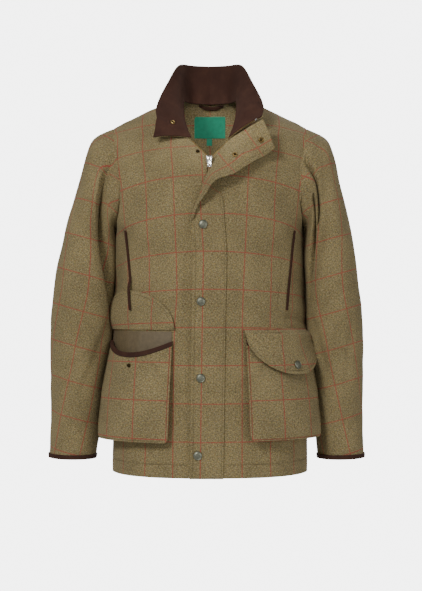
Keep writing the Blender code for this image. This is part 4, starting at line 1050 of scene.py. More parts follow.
TWEED = tweed_material()
BROWN = brown_material()
LINING = woven_material("nylon_lining", colour(87, 74, 50), colour(102, 87, 60), 0.55, 0.0009, 0.05)
LABEL = woven_material("woven_label", colour(18, 122, 92), colour(28, 140, 106), 0.5, 0.0008, 0.1)
TAPE = woven_material("zip_tape", colour(128, 104, 68), colour(150, 124, 84), 0.8, 0.0010)
THREAD = woven_material("thread", colour(84, 74, 46), colour(104, 92, 60), 0.8, 0.0008)
BROWN_THREAD = woven_material("brown_thread", colour(46, 26, 22), colour(58, 34, 28), 0.8, 0.0008)
GUNMETAL = metal_material("snap_metal", colour(104, 106, 92), colour(132, 133, 118), 0.46)
BRASS = metal_material("brass", colour(120, 98, 58), colour(168, 142, 92), 0.38)
SILVER = metal_material("zip_metal", colour(176, 174, 168), colour(214, 212, 206), 0.28)
# Dark brass for the studs; the snap rings also take it in their hollow middles as painted shade in the hole
DARK_BRASS_AND_HOLE_SHADE = metal_material("dark_brass_and_hole_shade", colour(40, 32, 20), colour(64, 52, 32), 0.5)

stitches = {"tweed": [], "brown": []}


def stitch_line(kind, points, normals):
    """Keeps a line to be sewn later."""
    stitches[kind].append((np.asarray(points, float), np.asarray(normals, float)))


# Fronts and back
FRONT_LOW_ROWS = 130
FRONT_HIGH_ROWS = 84
PANEL_COLUMNS = 64
HEM_SEWN = {RIGHT: (0.044, 0.286), LEFT: (0.030, 0.286)}
HEM_POINTS = 120
BACK_HEM_REACH = 0.99
BACK_HEM_SHORT = 12


def panel_levels():
    return np.concatenate([np.linspace(0, 1, FRONT_LOW_ROWS)[:-1], 1 + np.linspace(0, 1, FRONT_HIGH_ROWS)])


def seam_dip(grid, edges):
    """Draws the cloth in along its sewn edges."""
    run, climb = run_along(grid, 1), run_along(grid, 0)
    away = {
        "out": run[:, -1:] - run,
        "in": run,
        "top": climb[-1:] - climb,
    }
    dip = np.zeros(grid.shape[:2])
    for edge in edges:
        dip = np.maximum(dip, np.exp(-((away[edge] / SEAM_REACH) ** 2)))
    hem = np.exp(-(((grid[..., 2] - HEM_LINE) / HEM_REACH) ** 2))
    return -SEAM_DIP * dip - HEM_DIP * hem


def side_swell(grid):
    """How far the cloth swells out beside the side seam, below the underarm."""
    run = run_along(grid, 1)
    low, full, ends, high = SIDE_SWELL_HEIGHTS
    h = grid[..., 2]
    tall = ease((h - low) / (full - low)) * ease((high - h) / (high - ends))
    return SIDE_SWELL * tall * np.exp(-(((run[:, -1:] - run) / SIDE_SWELL_WIDE) ** 2))


SETTLE_PASSES = 60
SETTLE_EDGE = 10


def settle(grid):
    """Eases sharp turns out of a grid; its edges stay where they are sewn."""
    rows, columns = grid.shape[:2]
    i = np.minimum(np.arange(rows), rows - 1 - np.arange(rows))[:, None]
    j = np.minimum(np.arange(columns), columns - 1 - np.arange(columns))[None, :]
    free = ease(np.minimum(i, j) / SETTLE_EDGE)[..., None]
    for _ in range(SETTLE_PASSES):
        mean = grid.copy()
        mean[1:-1] = (grid[:-2] + 2 * grid[1:-1] + grid[2:]) / 4
        grid = grid + (mean - grid) * free
    return grid


def panel_grid(face, side, creases):
    """A front or half the back with its creases, and its cloth coordinates."""
    across = np.sin(np.linspace(0, math.pi / 2, PANEL_COLUMNS))
    grid = settle(panel_row(face, side, panel_levels()[:, None], across[None, :]))
    run = run_along(grid, 1) + np.abs(grid[:, :1, 0])
    h = grid[..., 2]
    if face == FRONT:
        uv = front_check(side, h, run)
    else:
        uv = np.stack([side * run, check_height(h, run, BACK)], axis=-1)
    over = np.maximum(SHOULDER_TOP[face] + face * grid[..., 1], 0.0) * (panel_levels() > 1)[:, None]
    uv[..., 1] += SHOULDER_DEEPER * over * ease((h - SHOULDER_FROM) / (NECK_ABOVE_HEM - SHOULDER_FROM))
    toward = FORWARD if face == FRONT else BACKWARD
    normals = grid_normals(grid, toward)
    move = crease_depth(creases, grid[..., 0], h) + waver(uv) + side_swell(grid)
    return grid + normals * (move + seam_dip(grid, ("out", "top")))[..., None], uv


def front_panel(side):
    grid, uv = panel_grid(FRONT, side, FRONT_CREASES)
    obj = cloth_piece("front_" + SIDE_NAME[side], grid, uv, FORWARD, CLOTH, TWEED, "tweed")
    girth = np.linspace(*HEM_SEWN[side], HEM_POINTS)
    stitch_line("tweed", *girth_frame(side, np.full(HEM_POINTS, HEM_LINE), girth))


def back_panel():
    halves = []
    for side in (RIGHT, LEFT):
        grid, uv = panel_grid(BACK, side, BACK_CREASES)
        halves.append(grid_object("back_half", grid, uv, BACKWARD))
        across = np.sin(np.linspace(0, math.pi / 2 * BACK_HEM_REACH, HEM_POINTS))
        hem = panel_row(BACK, side, HEM_LINE / UNDERARM, across)[:-BACK_HEM_SHORT]
        stitch_line("tweed", *surface_frame(BACK, hem[:, 0], hem[:, 2]))
    obj = thicken(join(halves, "back_cloth"), CLOTH)
    dress(obj, TWEED, "tweed", "back")


# Sleeves: where a line of the check runs, as distance round from the outer line, by height
Grain = namedtuple("Grain", "height round")
SLEEVE_GRAIN = (
    Grain(0.020, 0.034),
    Grain(0.106, 0.055),
    Grain(0.253, 0.094),
    Grain(0.391, 0.119),
    Grain(0.588, 0.100),
    Grain(0.720, 0.090),
)
SLEEVE_GRAIN_SHIFT = {RIGHT: 0.0, LEFT: -0.036}
SLEEVE_TILT = 0.279
SLEEVE_CROSS = 0.4106
SLEEVE_ROWS = 170
SLEEVE_BACK_COLUMNS = 62
SLEEVE_FRONT_COLUMNS = 120
SLEEVE_CAP_ROW = 52


def sleeve(side):
    along = np.linspace(0, SLEEVE[-1].along, SLEEVE_ROWS)
    behind = np.linspace(-math.pi, 0, SLEEVE_BACK_COLUMNS, endpoint=False)
    angle = np.concatenate([behind, np.linspace(0, math.pi, SLEEVE_FRONT_COLUMNS + 1)])
    grid = sleeve_point(side, along[:, None], angle[None, :])
    smooth = sleeve_point(side, along[:, None], angle[None, :], folds=False)
    run = run_along(smooth, 1)
    run = run - run[:, SLEEVE_BACK_COLUMNS][:, None]
    h, x = smooth[..., 2], np.abs(smooth[..., 0])
    u = run - column(SLEEVE_GRAIN, "round", h) - SLEEVE_GRAIN_SHIFT[side]
    v = h - SLEEVE_TILT * x - SLEEVE_CROSS
    down = run_along(smooth, 0)
    climb = down[SLEEVE_CAP_ROW] - down
    u = np.where(climb > 0, (u[SLEEVE_CAP_ROW] + u) / 2, u)
    v = np.where(climb > 0, v[SLEEVE_CAP_ROW] + climb, v)
    uv = np.stack([u, v], axis=-1)
    toward = np.array([float(side), 0.0, 0.0])
    test = (SLEEVE_ROWS // 2, SLEEVE_BACK_COLUMNS)
    normals = grid_normals(grid, toward, test)
    move = waver(uv) - SEAM_DIP * np.exp(-((run_along(grid, 0) / SEAM_REACH) ** 2))
    grid = grid + normals * move[..., None]
    grid[:, -1] = grid[:, 0]
    obj = cloth_piece("sleeve_" + SIDE_NAME[side], grid, uv, toward, CLOTH, TWEED, "tweed", test, closed=True)
    binding = cuff_binding(side)


NEAR_END = 0.2
NEAR_ANGLE = 0.05
CUFF_STEPS = 97


def ring_band(name, rings, closed):
    """A band swept through like sections: its section closes on itself, and its ends meet or are capped."""
    grid = np.array(rings)
    grid = np.concatenate([grid, grid[:, :1]], axis=1)
    uv = np.stack([run_along(grid, 0), run_along(grid, 1)], axis=-1)
    obj = grid_object(name, grid, uv, FORWARD, closed=True)
    if not closed:
        bpy.ops.object.mode_set(mode="EDIT")
        bpy.ops.mesh.select_all(action="DESELECT")
        bpy.ops.mesh.select_non_manifold()
        bpy.ops.mesh.fill_holes(sides=0)
        bpy.ops.object.mode_set(mode="OBJECT")
    turn_outward(BAND_SMOOTH)
    return obj


def cuff_binding(side):
    """A brown binding folded over the end of the sleeve."""
    end = float(SLEEVE[-1].along)
    middle = (sleeve_point(side, end, 0.0) + sleeve_point(side, end, math.pi)) / 2
    rings, line, outs = [], [], []
    for angle in np.linspace(-math.pi, math.pi, CUFF_STEPS):
        here = sleeve_point(side, end, angle)
        up = unit(sleeve_point(side, end - NEAR_END, angle) - here)
        around = sleeve_point(side, end, angle + NEAR_ANGLE) - sleeve_point(side, end, angle - NEAR_ANGLE)
        out = unit(np.cross(around, up))
        if np.dot(out, here - middle) < 0:
            out = -out
        rings.append([here + up * rise + out * out_by for rise, out_by in BINDING_SECTION])
        line.append(here + up * BINDING_STITCH + out * (CLEAR + TRIM + STITCH_PROUD))
        outs.append(out)
    stitch_line("brown", line, outs)
    name = "cuff_binding_" + SIDE_NAME[side]
    return dress(ring_band(name + "_cloth", rings, True), BROWN, "brown_moleskin", name)


# Collar
COLLAR_CHECK_AT = 0.28
COLLAR_CHECK_UP = 0.03
SHOULDER_TURN = 0.5
COLLAR_ZIP = (0.001, 0.012)
COLLAR_TOOTH_OUT = 0.0012
COLLAR_STOP_SIZE = (0.0046, 0.0040, 0.0024)


def neck_seam(side, turn):
    """The neck seam, from 0 at the centre back by 0.5 at the shoulder to 1 at the front end."""
    if turn <= SHOULDER_TURN:
        share = NECK_SHARE + (1 - NECK_SHARE) * turn / SHOULDER_TURN
        return panel_row(BACK, side, 1 + share, 0.0)
    share = 1 - (1 - NECK_SHARE) * (turn - SHOULDER_TURN) / (1 - SHOULDER_TURN)
    return panel_row(FRONT, side, 1 + share, 0.0)


LINE_PASSES = 14


def ease_line(line):
    """Eases sharp turns out of a line of points; its ends stay."""
    for _ in range(LINE_PASSES):
        line = np.concatenate([line[:1], (line[:-2] + 2 * line[1:-1] + line[2:]) / 4, line[-1:]])
    return line


def collar_grid(start_share, reach):
    """The collar's outer face, from the right front end round the back to the left front end."""
    turns = [(RIGHT, 1 - i / COLLAR_STEPS) for i in range(COLLAR_STEPS)]
    turns += [(LEFT, i / COLLAR_STEPS) for i in range(COLLAR_STEPS + 1)]
    base = ease_line(np.array([neck_seam(side, turn) for side, turn in turns]))
    edge, roll = [], []
    for side, turn in turns:
        rows = COLLAR_EDGE[side]
        edge.append([side * column(rows, "x", turn), column(rows, "y", turn), column(rows, "height", turn)])
        roll.append(column(rows, "roll", turn))
    edge = ease_line(np.array(edge))
    rise = edge - base
    inward = unit(np.cross(np.gradient(base, axis=0), rise))
    if inward[COLLAR_STEPS, 1] > 0:
        inward = -inward
    share = np.linspace(start_share, reach, COLLAR_COLUMNS + 1)
    start = base + unit(rise) * SEAM * 2
    grid = start[:, None] + (edge - start)[:, None] * share[None, :, None]
    belly = np.array(roll)[:, None] * np.sin(np.pi * np.maximum(share, 0.0))[None, :]
    turn = np.array([turn if side == RIGHT else 0.0 for side, turn in turns])[:, None]
    crease = COLLAR_TIP_CREASE[1] + (COLLAR_TIP_CREASE[0] - COLLAR_TIP_CREASE[1]) * share
    ridge = COLLAR_TIP_RIDGE * np.exp(-(((turn - crease) / COLLAR_TIP_WIDE) ** 2))
    ridge = ridge * ease((share - COLLAR_TIP_FROM) / (1 - COLLAR_TIP_FROM))
    return grid + inward[:, None] * belly[:, :, None] + FORWARD * ridge[:, :, None]


def collar():
    """A tweed outer and a brown facing a seam apart, with the facing's ring, zip teeth and end stop."""
    outer = collar_grid(0.0, 1.0)
    uv = np.stack([run_along(outer, 0) - COLLAR_CHECK_AT, run_along(outer, 1) - COLLAR_CHECK_UP], axis=-1)
    shell = cloth_piece("collar_outer", outer, uv, BACKWARD, COLLAR_LAYER, TWEED, "tweed")
    inside = collar_grid(COLLAR_TUCK, COLLAR_TURNED_EDGE)
    facing = inside - grid_normals(inside, BACKWARD) * (COLLAR_LAYER + SEAM)
    facing_obj = cloth_piece("collar_facing", facing, uv, BACKWARD, COLLAR_LAYER, BROWN, "brown_moleskin")
    normals = grid_normals(facing, BACKWARD)
    shown = facing - normals * COLLAR_LAYER
    turn, share = COLLAR_RING_PLACE
    i, j = round((1 - turn) * COLLAR_STEPS), round(share * COLLAR_COLUMNS)
    ring = snap_ring("collar_ring", shown[i, j], -normals[i, j])
    end = facing[-1] - normals[-1] * COLLAR_LAYER / 2
    past = unit(facing[-1] - facing[-2])
    run = line_run(end)
    at = np.arange(COLLAR_ZIP[0], run[-1] - COLLAR_ZIP[1], TOOTH_PITCH)
    end, past, out = [spread(at, run, values) for values in (end, past, normals[-1])]
    ahead = unit(np.gradient(end, axis=0))
    teeth = list(zip(end + past * COLLAR_TOOTH_OUT, past, ahead, out))
    teeth_obj = small_blocks("zip_teeth_collar", teeth, TOOTH_SIZE)
    dress(teeth_obj, BRASS, "zip_metal")
    stop = small_blocks("zip_end_stop", teeth[-1:], COLLAR_STOP_SIZE)
    dress(stop, SILVER, "zip_metal")


# Storm flap
FLAP_ROLL_EDGES = (0.02, 0.98)


def flap_shares(closed):
    """Places across the flap, close together where it rolls over."""
    reach = math.pi * FLAP_ROLL / 2 / FLAP_WIDTH
    middle = np.clip(closed, *FLAP_ROLL_LIMITS)
    low, high = np.clip((middle - reach, middle + reach), *FLAP_ROLL_EDGES)
    return np.concatenate([
        np.linspace(0, low, FLAP_PLAIN_COLUMNS, endpoint=False),
        np.linspace(low, high, FLAP_ROLL_COLUMNS, endpoint=False),
        np.linspace(high, 1, FLAP_PLAIN_COLUMNS + 1),
    ])


def flap_points(along, shares):
    """The outer face of the storm flap at rows given by place along it and shares of its width."""
    half_turn = math.pi * FLAP_ROLL / 2
    row = {name: column(STORM_FLAP, name, along)[:, None] for name in Turn._fields[1:]}
    lean, rise = np.radians(row["lean"]), np.radians(row["rise"])
    run = (row["closed"] - shares) * FLAP_WIDTH
    beyond = np.maximum(np.abs(run) - half_turn, 0.0)
    rolling = beyond == 0.0
    away = np.where(rolling, FLAP_ROLL * (1 - np.cos(run / FLAP_ROLL)), FLAP_ROLL + beyond)
    away = np.where(~rolling & (run < 0), FLAP_ROLL + beyond * np.cos(rise), away)
    lift = np.where(rolling, FLAP_ROLL * (1 - np.sin(run / FLAP_ROLL)), 0.0)
    lift = np.where(~rolling & (run < 0), 2 * FLAP_ROLL + beyond * np.sin(rise), lift)
    shut = ease((row["closed"] - FLAP_LIFTS[0]) / (FLAP_LIFTS[1] - FLAP_LIFTS[0]))
    lift = lift + FLAP_EDGE_LIFT * shut * ease((shares - FLAP_EDGE_FROM) / (1 - FLAP_EDGE_FROM))
    x = row["fold_x"] + away * np.cos(lean)
    h = row["fold_h"] - away * np.sin(lean)
    point, out = surface_frame(FRONT, x, h)
    return point + out * (CLOTH + CLEAR + lift)[..., None] + FORWARD * row["fold_out"][..., None]


FLAP_STITCHES = ((0.075, 0.30), (0.905, 0.99))
FLAP_TURN_ROWS = 14
FLAP_WAVER = 0.6
FLAP_CHECK_SHARE = 0.69
FLAP_CHECK_SLIP = 0.031
FLAP_SLIPS = (0.50, 0.62)


def storm_flap():
    """The flap over the zip, closed below and turned back at the top, with its sewing and snaps."""
    closed = np.linspace(0, FLAP_CLOSED_TO, FLAP_CLOSED_STEPS)
    turned = np.linspace(FLAP_CLOSED_TO, STORM_FLAP[-1].along, FLAP_TURNED_STEPS)
    along = np.concatenate([closed, turned[1:]])
    shut = column(STORM_FLAP, "closed", along)
    shares = np.array([flap_shares(value) for value in shut])
    grid = flap_points(along, shares)
    slip = FLAP_CHECK_SLIP * ease((along - FLAP_SLIPS[0]) / (FLAP_SLIPS[1] - FLAP_SLIPS[0]))
    down = (along + slip - CHECK_HEIGHT)[:, None]
    uv = np.stack(np.broadcast_arrays((shares - FLAP_CHECK_SHARE) * FLAP_WIDTH, down), axis=-1)
    test = (FLAP_CLOSED_ROW, shares.shape[1] // 2)
    groove = sum(np.exp(-((((shares - share) * FLAP_WIDTH) / HEM_REACH) ** 2)) for share, _ in FLAP_STITCHES)
    grid = grid + grid_normals(grid, FORWARD, test) * (waver(uv) * FLAP_WAVER - HEM_DIP * groove)[..., None]
    obj = cloth_piece("storm_flap", grid, uv, FORWARD, CLOTH, TWEED, "tweed", test)
    outward = grid_normals(grid, FORWARD, test)
    rows = np.arange(len(along))
    for share, sewn_to in FLAP_STITCHES:
        index = np.argmin(np.abs(shares - share), axis=1)
        line, out = grid[rows, index], outward[rows, index]
        upto = int(np.argmax(shut < sewn_to))
        stitch_line("tweed", line[1:upto], out[1:upto])
    turned_over = slice(upto + FLAP_TURN_ROWS, -2)
    stitch_line("tweed", (line - out * CLOTH)[turned_over], -out[turned_over])
    for spot in FLAP_SNAPS:
        point, out = surface_frame(FRONT, spot.x, spot.height)
        snap_cap(spot.name, point + out * (CLOTH + CLEAR), out)
    for name, place, share in FLAP_RINGS:
        i = int(np.argmin(np.abs(along - place * STORM_FLAP[-1].along)))
        j = int(np.argmin(np.abs(shares[i] - share)))
        snap_ring(name, grid[i, j] - outward[i, j] * CLOTH, -outward[i, j])


# Fittings: rows of radius and height of each turned shape
SNAP_PROFILE = (
    (0.0, 0.0037), (0.0030, 0.0037), (0.0052, 0.0034), (0.0066, 0.0029), (0.0071, 0.0024), (0.0074, 0.0023),
    (0.0079, 0.0025), (0.0085, 0.0021), (0.0088, 0.0013), (0.0087, 0.0004), (0.0080, -0.0006), (0.0, -0.0006),
)
RING_PROFILE = (
    (0.0, 0.0003), (0.0021, 0.0003), (0.0023, 0.0012), (0.0028, 0.0021), (0.0038, 0.0026), (0.0047, 0.0022),
    (0.0053, 0.0012), (0.0053, 0.0002), (0.0048, -0.0008), (0.0, -0.0008),
)
STUD_PROFILE = (
    (0.0, 0.0041), (0.0014, 0.0040), (0.0024, 0.0035), (0.0028, 0.0028), (0.0025, 0.0022), (0.0022, 0.0016),
    (0.0024, 0.0010), (0.0036, 0.0008), (0.0040, 0.0004), (0.0039, -0.0006), (0.0, -0.0006),
)
RING_HOLE = 0.0022
FITTING_SEGMENTS = 40


def fitting(name, profile, point, direction, material, slot):
    obj = spun(name + "_metal", profile, FITTING_SEGMENTS)
    obj.data.transform(frame_matrix(point, direction))
    return dress(obj, material, slot, name)


def snap_cap(name, point, direction):
    return fitting(name, SNAP_PROFILE, point + direction * CLEAR, direction, GUNMETAL, "snap_metal")


def snap_ring(name, point, direction):
    obj = fitting(name, RING_PROFILE, point + direction * HARD_CLEAR, direction, BRASS, "brass")
    # Painted shade in the ring's hole: the faces of its hollow middle take the dark brass
    obj.data.materials.append(DARK_BRASS_AND_HOLE_SHADE)
    for face in obj.data.polygons:
        middle = Vector(face.center) - Vector(lowered(point))
        aside = middle - Vector(direction) * middle.dot(Vector(direction))
        face.material_index = 1 if aside.length < RING_HOLE else 0
    return obj


def stud(name, point, direction):
    return fitting(name, STUD_PROFILE, point + direction * CLEAR, direction, DARK_BRASS_AND_HOLE_SHADE, "brass")


# Zip
TOOTH_PITCH = 0.0026
TOOTH_SIZE = (0.0030, 0.0016, 0.0014)
TEETH_LEVELS = (1.545, 1.79)
TEETH_START = 0.002
TEETH_POINTS = 400
TOOTH_BACK = 0.0006
TOOTH_PROUD = 0.0002
TAPE_STEPS = 150
TAPE_COLUMNS = 9


def zip_line(side, levels):
    """Points behind the edge of a front, with the directions along the cloth and out of it."""
    edge = panel_row(FRONT, side, levels, 0.0)
    beside = panel_row(FRONT, side, levels, BESIDE_EDGE)
    below = panel_row(FRONT, side, levels - NEAR_LEVEL, 0.0)
    above = panel_row(FRONT, side, levels + NEAR_LEVEL, 0.0)
    ahead = unit(beside - edge)
    out = unit(np.cross(ahead, above - below)) * side
    return edge - out * (CLOTH + INSIDE_CLEAR), ahead, out


def zip_tape(side):
    """Half of the zip: its tape, and teeth above the slider where they show."""
    side_name = SIDE_NAME[side]
    behind, ahead, _ = zip_line(side, np.linspace(*TAPE_LEVELS, TAPE_STEPS))
    places = np.linspace(-TAPE_OUT, TAPE_UNDER, TAPE_COLUMNS)
    grid = behind[:, None] + ahead[:, None] * places[None, :, None]
    uv = np.stack(np.broadcast_arrays(places[None, :], run_along(behind[:, None], 0)), axis=-1)
    obj = cloth_piece("zip_tape_" + side_name, grid, uv, FORWARD, TAPE_THICK, TAPE, "zip_tape")
    line, ahead, out = zip_line(side, np.linspace(*TEETH_LEVELS, TEETH_POINTS))
    run = line_run(line)
    at = np.arange(TEETH_START, run[-1], TOOTH_PITCH)
    line, ahead, out = [spread(at, run, values) for values in (line, ahead, out)]
    centres = line - ahead * (TAPE_OUT - TOOTH_BACK) + out * TOOTH_PROUD
    teeth = list(zip(centres, ahead, unit(np.gradient(line, axis=0)), out))
    teeth_obj = small_blocks("zip_teeth_" + side_name, teeth, TOOTH_SIZE)
    dress(teeth_obj, BRASS, "zip_metal")


def small_blocks(name, places, size):
    """One mesh of many small rounded blocks, each with a centre and its three directions."""
    bpy.ops.mesh.primitive_cube_add(size=1.0, location=(0, 0, 0))
    obj = bpy.context.object
    obj.name = name
    edge = obj.modifiers.new("edge", "BEVEL")
    edge.width = BLOCK_BEVEL
    edge.segments = 1
    bpy.ops.object.modifier_apply(modifier="edge")
    shape = np.array([v.co for v in obj.data.vertices]) * np.array(size)
    faces = [tuple(face.vertices) for face in obj.data.polygons]
    points, all_faces = [], []
    for i, (centre, first, second, third) in enumerate(places):
        points.append(lowered(centre) + shape @ np.array([first, second, third]))
        all_faces += [tuple(k + i * len(shape) for k in face) for face in faces]
    obj.data.clear_geometry()
    obj.data.from_pydata(np.concatenate(points).tolist(), [], all_faces)
    turn_outward(BLOCK_SMOOTH)
    return obj


def cube(name, size, centre):
    bpy.ops.mesh.primitive_cube_add(size=1.0, location=(0, 0, 0))
    obj = bpy.context.object
    obj.name = name
    obj.data.transform(Matrix.Translation(Vector(lowered(centre))) @ Matrix.Diagonal((*size, 1.0)))
    return obj


def soften(obj, width, segments):
    bpy.context.view_layer.objects.active = obj
    edge = obj.modifiers.new("edge", "BEVEL")
    edge.width = width
    edge.segments = segments
    edge.limit_method = "ANGLE"
    bpy.ops.object.modifier_apply(modifier="edge")
    bpy.ops.object.shade_smooth_by_angle(angle=math.radians(METAL_SMOOTH))


def combine(obj, other, way):
    bpy.context.view_layer.objects.active = obj
    cut = obj.modifiers.new("cut", "BOOLEAN")
    cut.operation = way
    cut.object = other
    bpy.ops.object.modifier_apply(modifier="cut")
    bpy.data.objects.remove(other, do_unlink=True)


def zip_slider_and_pull():
    """A slider with shoulders and a wire bridge, and a pull tab that swings on the bridge."""
    wide, deep, tall = SLIDER_SIZE
    front_y = float(surface_point(FRONT, ZIP_HALF_GAP, SLIDER_LOW)[1]) - HARD_CLEAR
    pivot = (SLIDER_CENTRE_X, front_y - deep - PIVOT_AHEAD, PIVOT_HEIGHT)
    body = cube("zip_slider_metal", SLIDER_SIZE, (SLIDER_CENTRE_X, front_y - deep / 2, SLIDER_LOW + tall / 2))
    low_z = SLIDER_LOW - NECK_ABOVE_HEM
    for vertex in body.data.vertices:
        if vertex.co.z < low_z + tall / 2:
            vertex.co.x = SLIDER_CENTRE_X + (vertex.co.x - SLIDER_CENTRE_X) * SLIDER_TAPER
    soften(body, *SLIDER_ROUND)
    bpy.ops.mesh.primitive_torus_add(
        major_radius=BRIDGE_RADIUS,
        minor_radius=BRIDGE_WIRE,
        major_segments=BRIDGE_SEGMENTS[0],
        minor_segments=BRIDGE_SEGMENTS[1],
        location=(0, 0, 0),
    )
    bridge = bpy.context.object
    bridge.data.transform(frame_matrix(pivot, (1.0, 0.0, 0.0)))
    combine(body, bridge, "UNION")
    bpy.ops.object.shade_smooth_by_angle(angle=math.radians(METAL_SMOOTH))
    dress(body, SILVER, "zip_metal", "zip_slider")

    bar_top = PULL_WINDOW_NEAR / 2
    size = (PULL_WIDTH, PULL_THICK, PULL_LENGTH + bar_top)
    plate = cube("zip_pull_metal", size, (pivot[0], pivot[1], pivot[2] + bar_top - size[2] / 2))
    middle = PIVOT_HEIGHT - (PULL_WINDOW_FAR + PULL_WINDOW_NEAR) / 2
    opening = (PULL_WINDOW, PULL_CUTTER, PULL_WINDOW_FAR - PULL_WINDOW_NEAR)
    window = cube("window", opening, (*pivot[:2], middle))
    combine(plate, window, "DIFFERENCE")
    bpy.ops.mesh.primitive_cylinder_add(
        vertices=PULL_HOLE_SIDES, radius=PULL_HOLE, depth=PULL_CUTTER, location=(0, 0, 0)
    )
    hole = bpy.context.object
    hole.data.transform(frame_matrix((*pivot[:2], PIVOT_HEIGHT - PULL_HOLE_AT), (0.0, 1.0, 0.0)))
    combine(plate, hole, "DIFFERENCE")
    soften(plate, *PULL_ROUND)
    dress(plate, SILVER, "zip_metal", "zip_pull", body="zip_pull")


# Hand pockets
HAND_POCKET_STEPS = 60
HAND_POCKET_COLUMNS = 9
HAND_POCKET_PUFF = 0.0005
HAND_BOX = (0.026, 0.0030)
HAND_BOX_FROM = {RIGHT: 24, LEFT: 0}
HAND_BOX_POINTS = 20


def hand_pocket(side):
    """A narrow bound edge with the stitched box beside it; the right one lies over the raised pocket flap."""
    heights = np.linspace(HAND_POCKET[0].height, HAND_POCKET[-1].height, HAND_POCKET_STEPS)
    girth = np.array([girth_of_x(h, x) for h, x in zip(heights, column(HAND_POCKET, "x", heights))])
    shares = np.linspace(-0.5, 0.5, HAND_POCKET_COLUMNS)
    point, out = girth_frame(side, heights[:, None], girth[:, None] + shares[None, :] * HAND_POCKET_WIDTH)
    over = column(HAND_POCKET, "over_raised", heights)[:, None] if side == RIGHT else 0.0
    puff = HAND_POCKET_PUFF * np.cos(math.pi * shares)[None, :]
    grid = point + out * (HAND_POCKET_OFF + TRIM + over + puff)[..., None]
    uv = np.stack([run_along(grid, 1), run_along(grid, 0)], axis=-1)
    name = "hand_pocket_binding_" + SIDE_NAME[side]
    obj = cloth_piece(name, grid, uv, FORWARD, TRIM, BROWN, "brown_moleskin")
    width, past = HAND_BOX
    shown = slice(HAND_BOX_FROM[side], None)
    stitch_line("tweed", *girth_frame(side, heights[shown], girth[shown] - width))
    ends = (heights[-1] + past,) if side == RIGHT else (heights[-1] + past, heights[0] - past)
    for h, at in zip(ends, (girth[-1], girth[0])):
        across = np.linspace(at - width, at + HAND_POCKET_WIDTH / 2, HAND_BOX_POINTS)
        stitch_line("tweed", *girth_frame(side, np.full(HAND_BOX_POINTS, h), across))


# Bellows pockets: share a runs from the inner edge to the outer, share b from the bottom to the mouth
def pocket_place(side, a, b):
    """Girth and height of a place of the pocket panel."""
    pocket = POCKETS[side]
    corner = np.clip((np.abs(2 * a - 1) - 1) / POCKET_CORNER_SHARE + 1, 0.0, 1.0)
    low = pocket.bottom + POCKET_CORNER * (1 - np.sqrt(1 - corner ** 2))
    high = pocket.mouth - pocket.dip * np.sin(math.pi * np.clip(a, 0.0, 1.0))
    inner = pocket.in_low + (pocket.in_top - pocket.in_low) * b
    return inner + (pocket.out - inner) * a, low + (high - low) * b


def pocket_off(side, a, b):
    """How far the outer face of the pocket panel stands off the front."""
    b = np.clip(b, 0.0, 1.0)
    low = POCKET_LOW_OFF_IN + (POCKET_LOW_OFF_OUT - POCKET_LOW_OFF_IN) * a
    middle = np.sin(math.pi * np.clip(a, 0.0, 1.0))
    high = POCKET_MOUTH_OFF + (POCKETS[side].belly - POCKET_MOUTH_OFF) * middle
    return high + (low - high) * (1 - b ** POCKET_SLOPE)


def pocket_point(side, a, b, off, inset=0.0):
    """A point off the front at a pocket place, drawn in towards the pocket's middle by a share."""
    girth, h = pocket_place(side, a, b)
    middle_girth, middle_h = pocket_place(side, 0.5, 0.5)
    girth = girth + (middle_girth - girth) * inset
    h = h + (middle_h - h) * inset
    point, out = girth_frame(side, h, girth)
    return point + out * np.asarray(off)[..., None]


def pocket_behind(side, a, b, deep):
    """A point behind the pocket panel, straight in from its face."""
    here = pocket_point(side, a, b, pocket_off(side, a, b))
    beside = pocket_point(side, a + NEAR_SHARE, b, pocket_off(side, a + NEAR_SHARE, b)) - here
    above = pocket_point(side, a, b + NEAR_SHARE, pocket_off(side, a, b + NEAR_SHARE)) - here
    return here - side * unit(np.cross(beside, above)) * deep


POCKET_CHECK_AT = 0.02
POCKET_CHECK_WIDE = 0.160
POCKET_CHECK_UP = 0.006
POCKET_STITCH = 0.018
POCKET_STITCH_FADE = 0.010
POCKET_STITCH_TURN = POCKET_STITCH + 0.03
POCKET_STITCH_TOP = 0.93
POCKET_GROOVE = 0.0006
POCKET_WAVER = 0.8
PATH_POINTS = 60
GUSSET_POINTS = 80
GUSSET_BEND = 0.12
CLOSER = 0.35
STITCH_SUNK = 0.0003
STITCH_PROUD = 0.0001


def shares_along(count):
    """Even steps from 0 to 1, closer together near both ends."""
    even = np.linspace(0, 1, count)
    return even - CLOSER * np.sin(2 * math.pi * even) / (2 * math.pi)


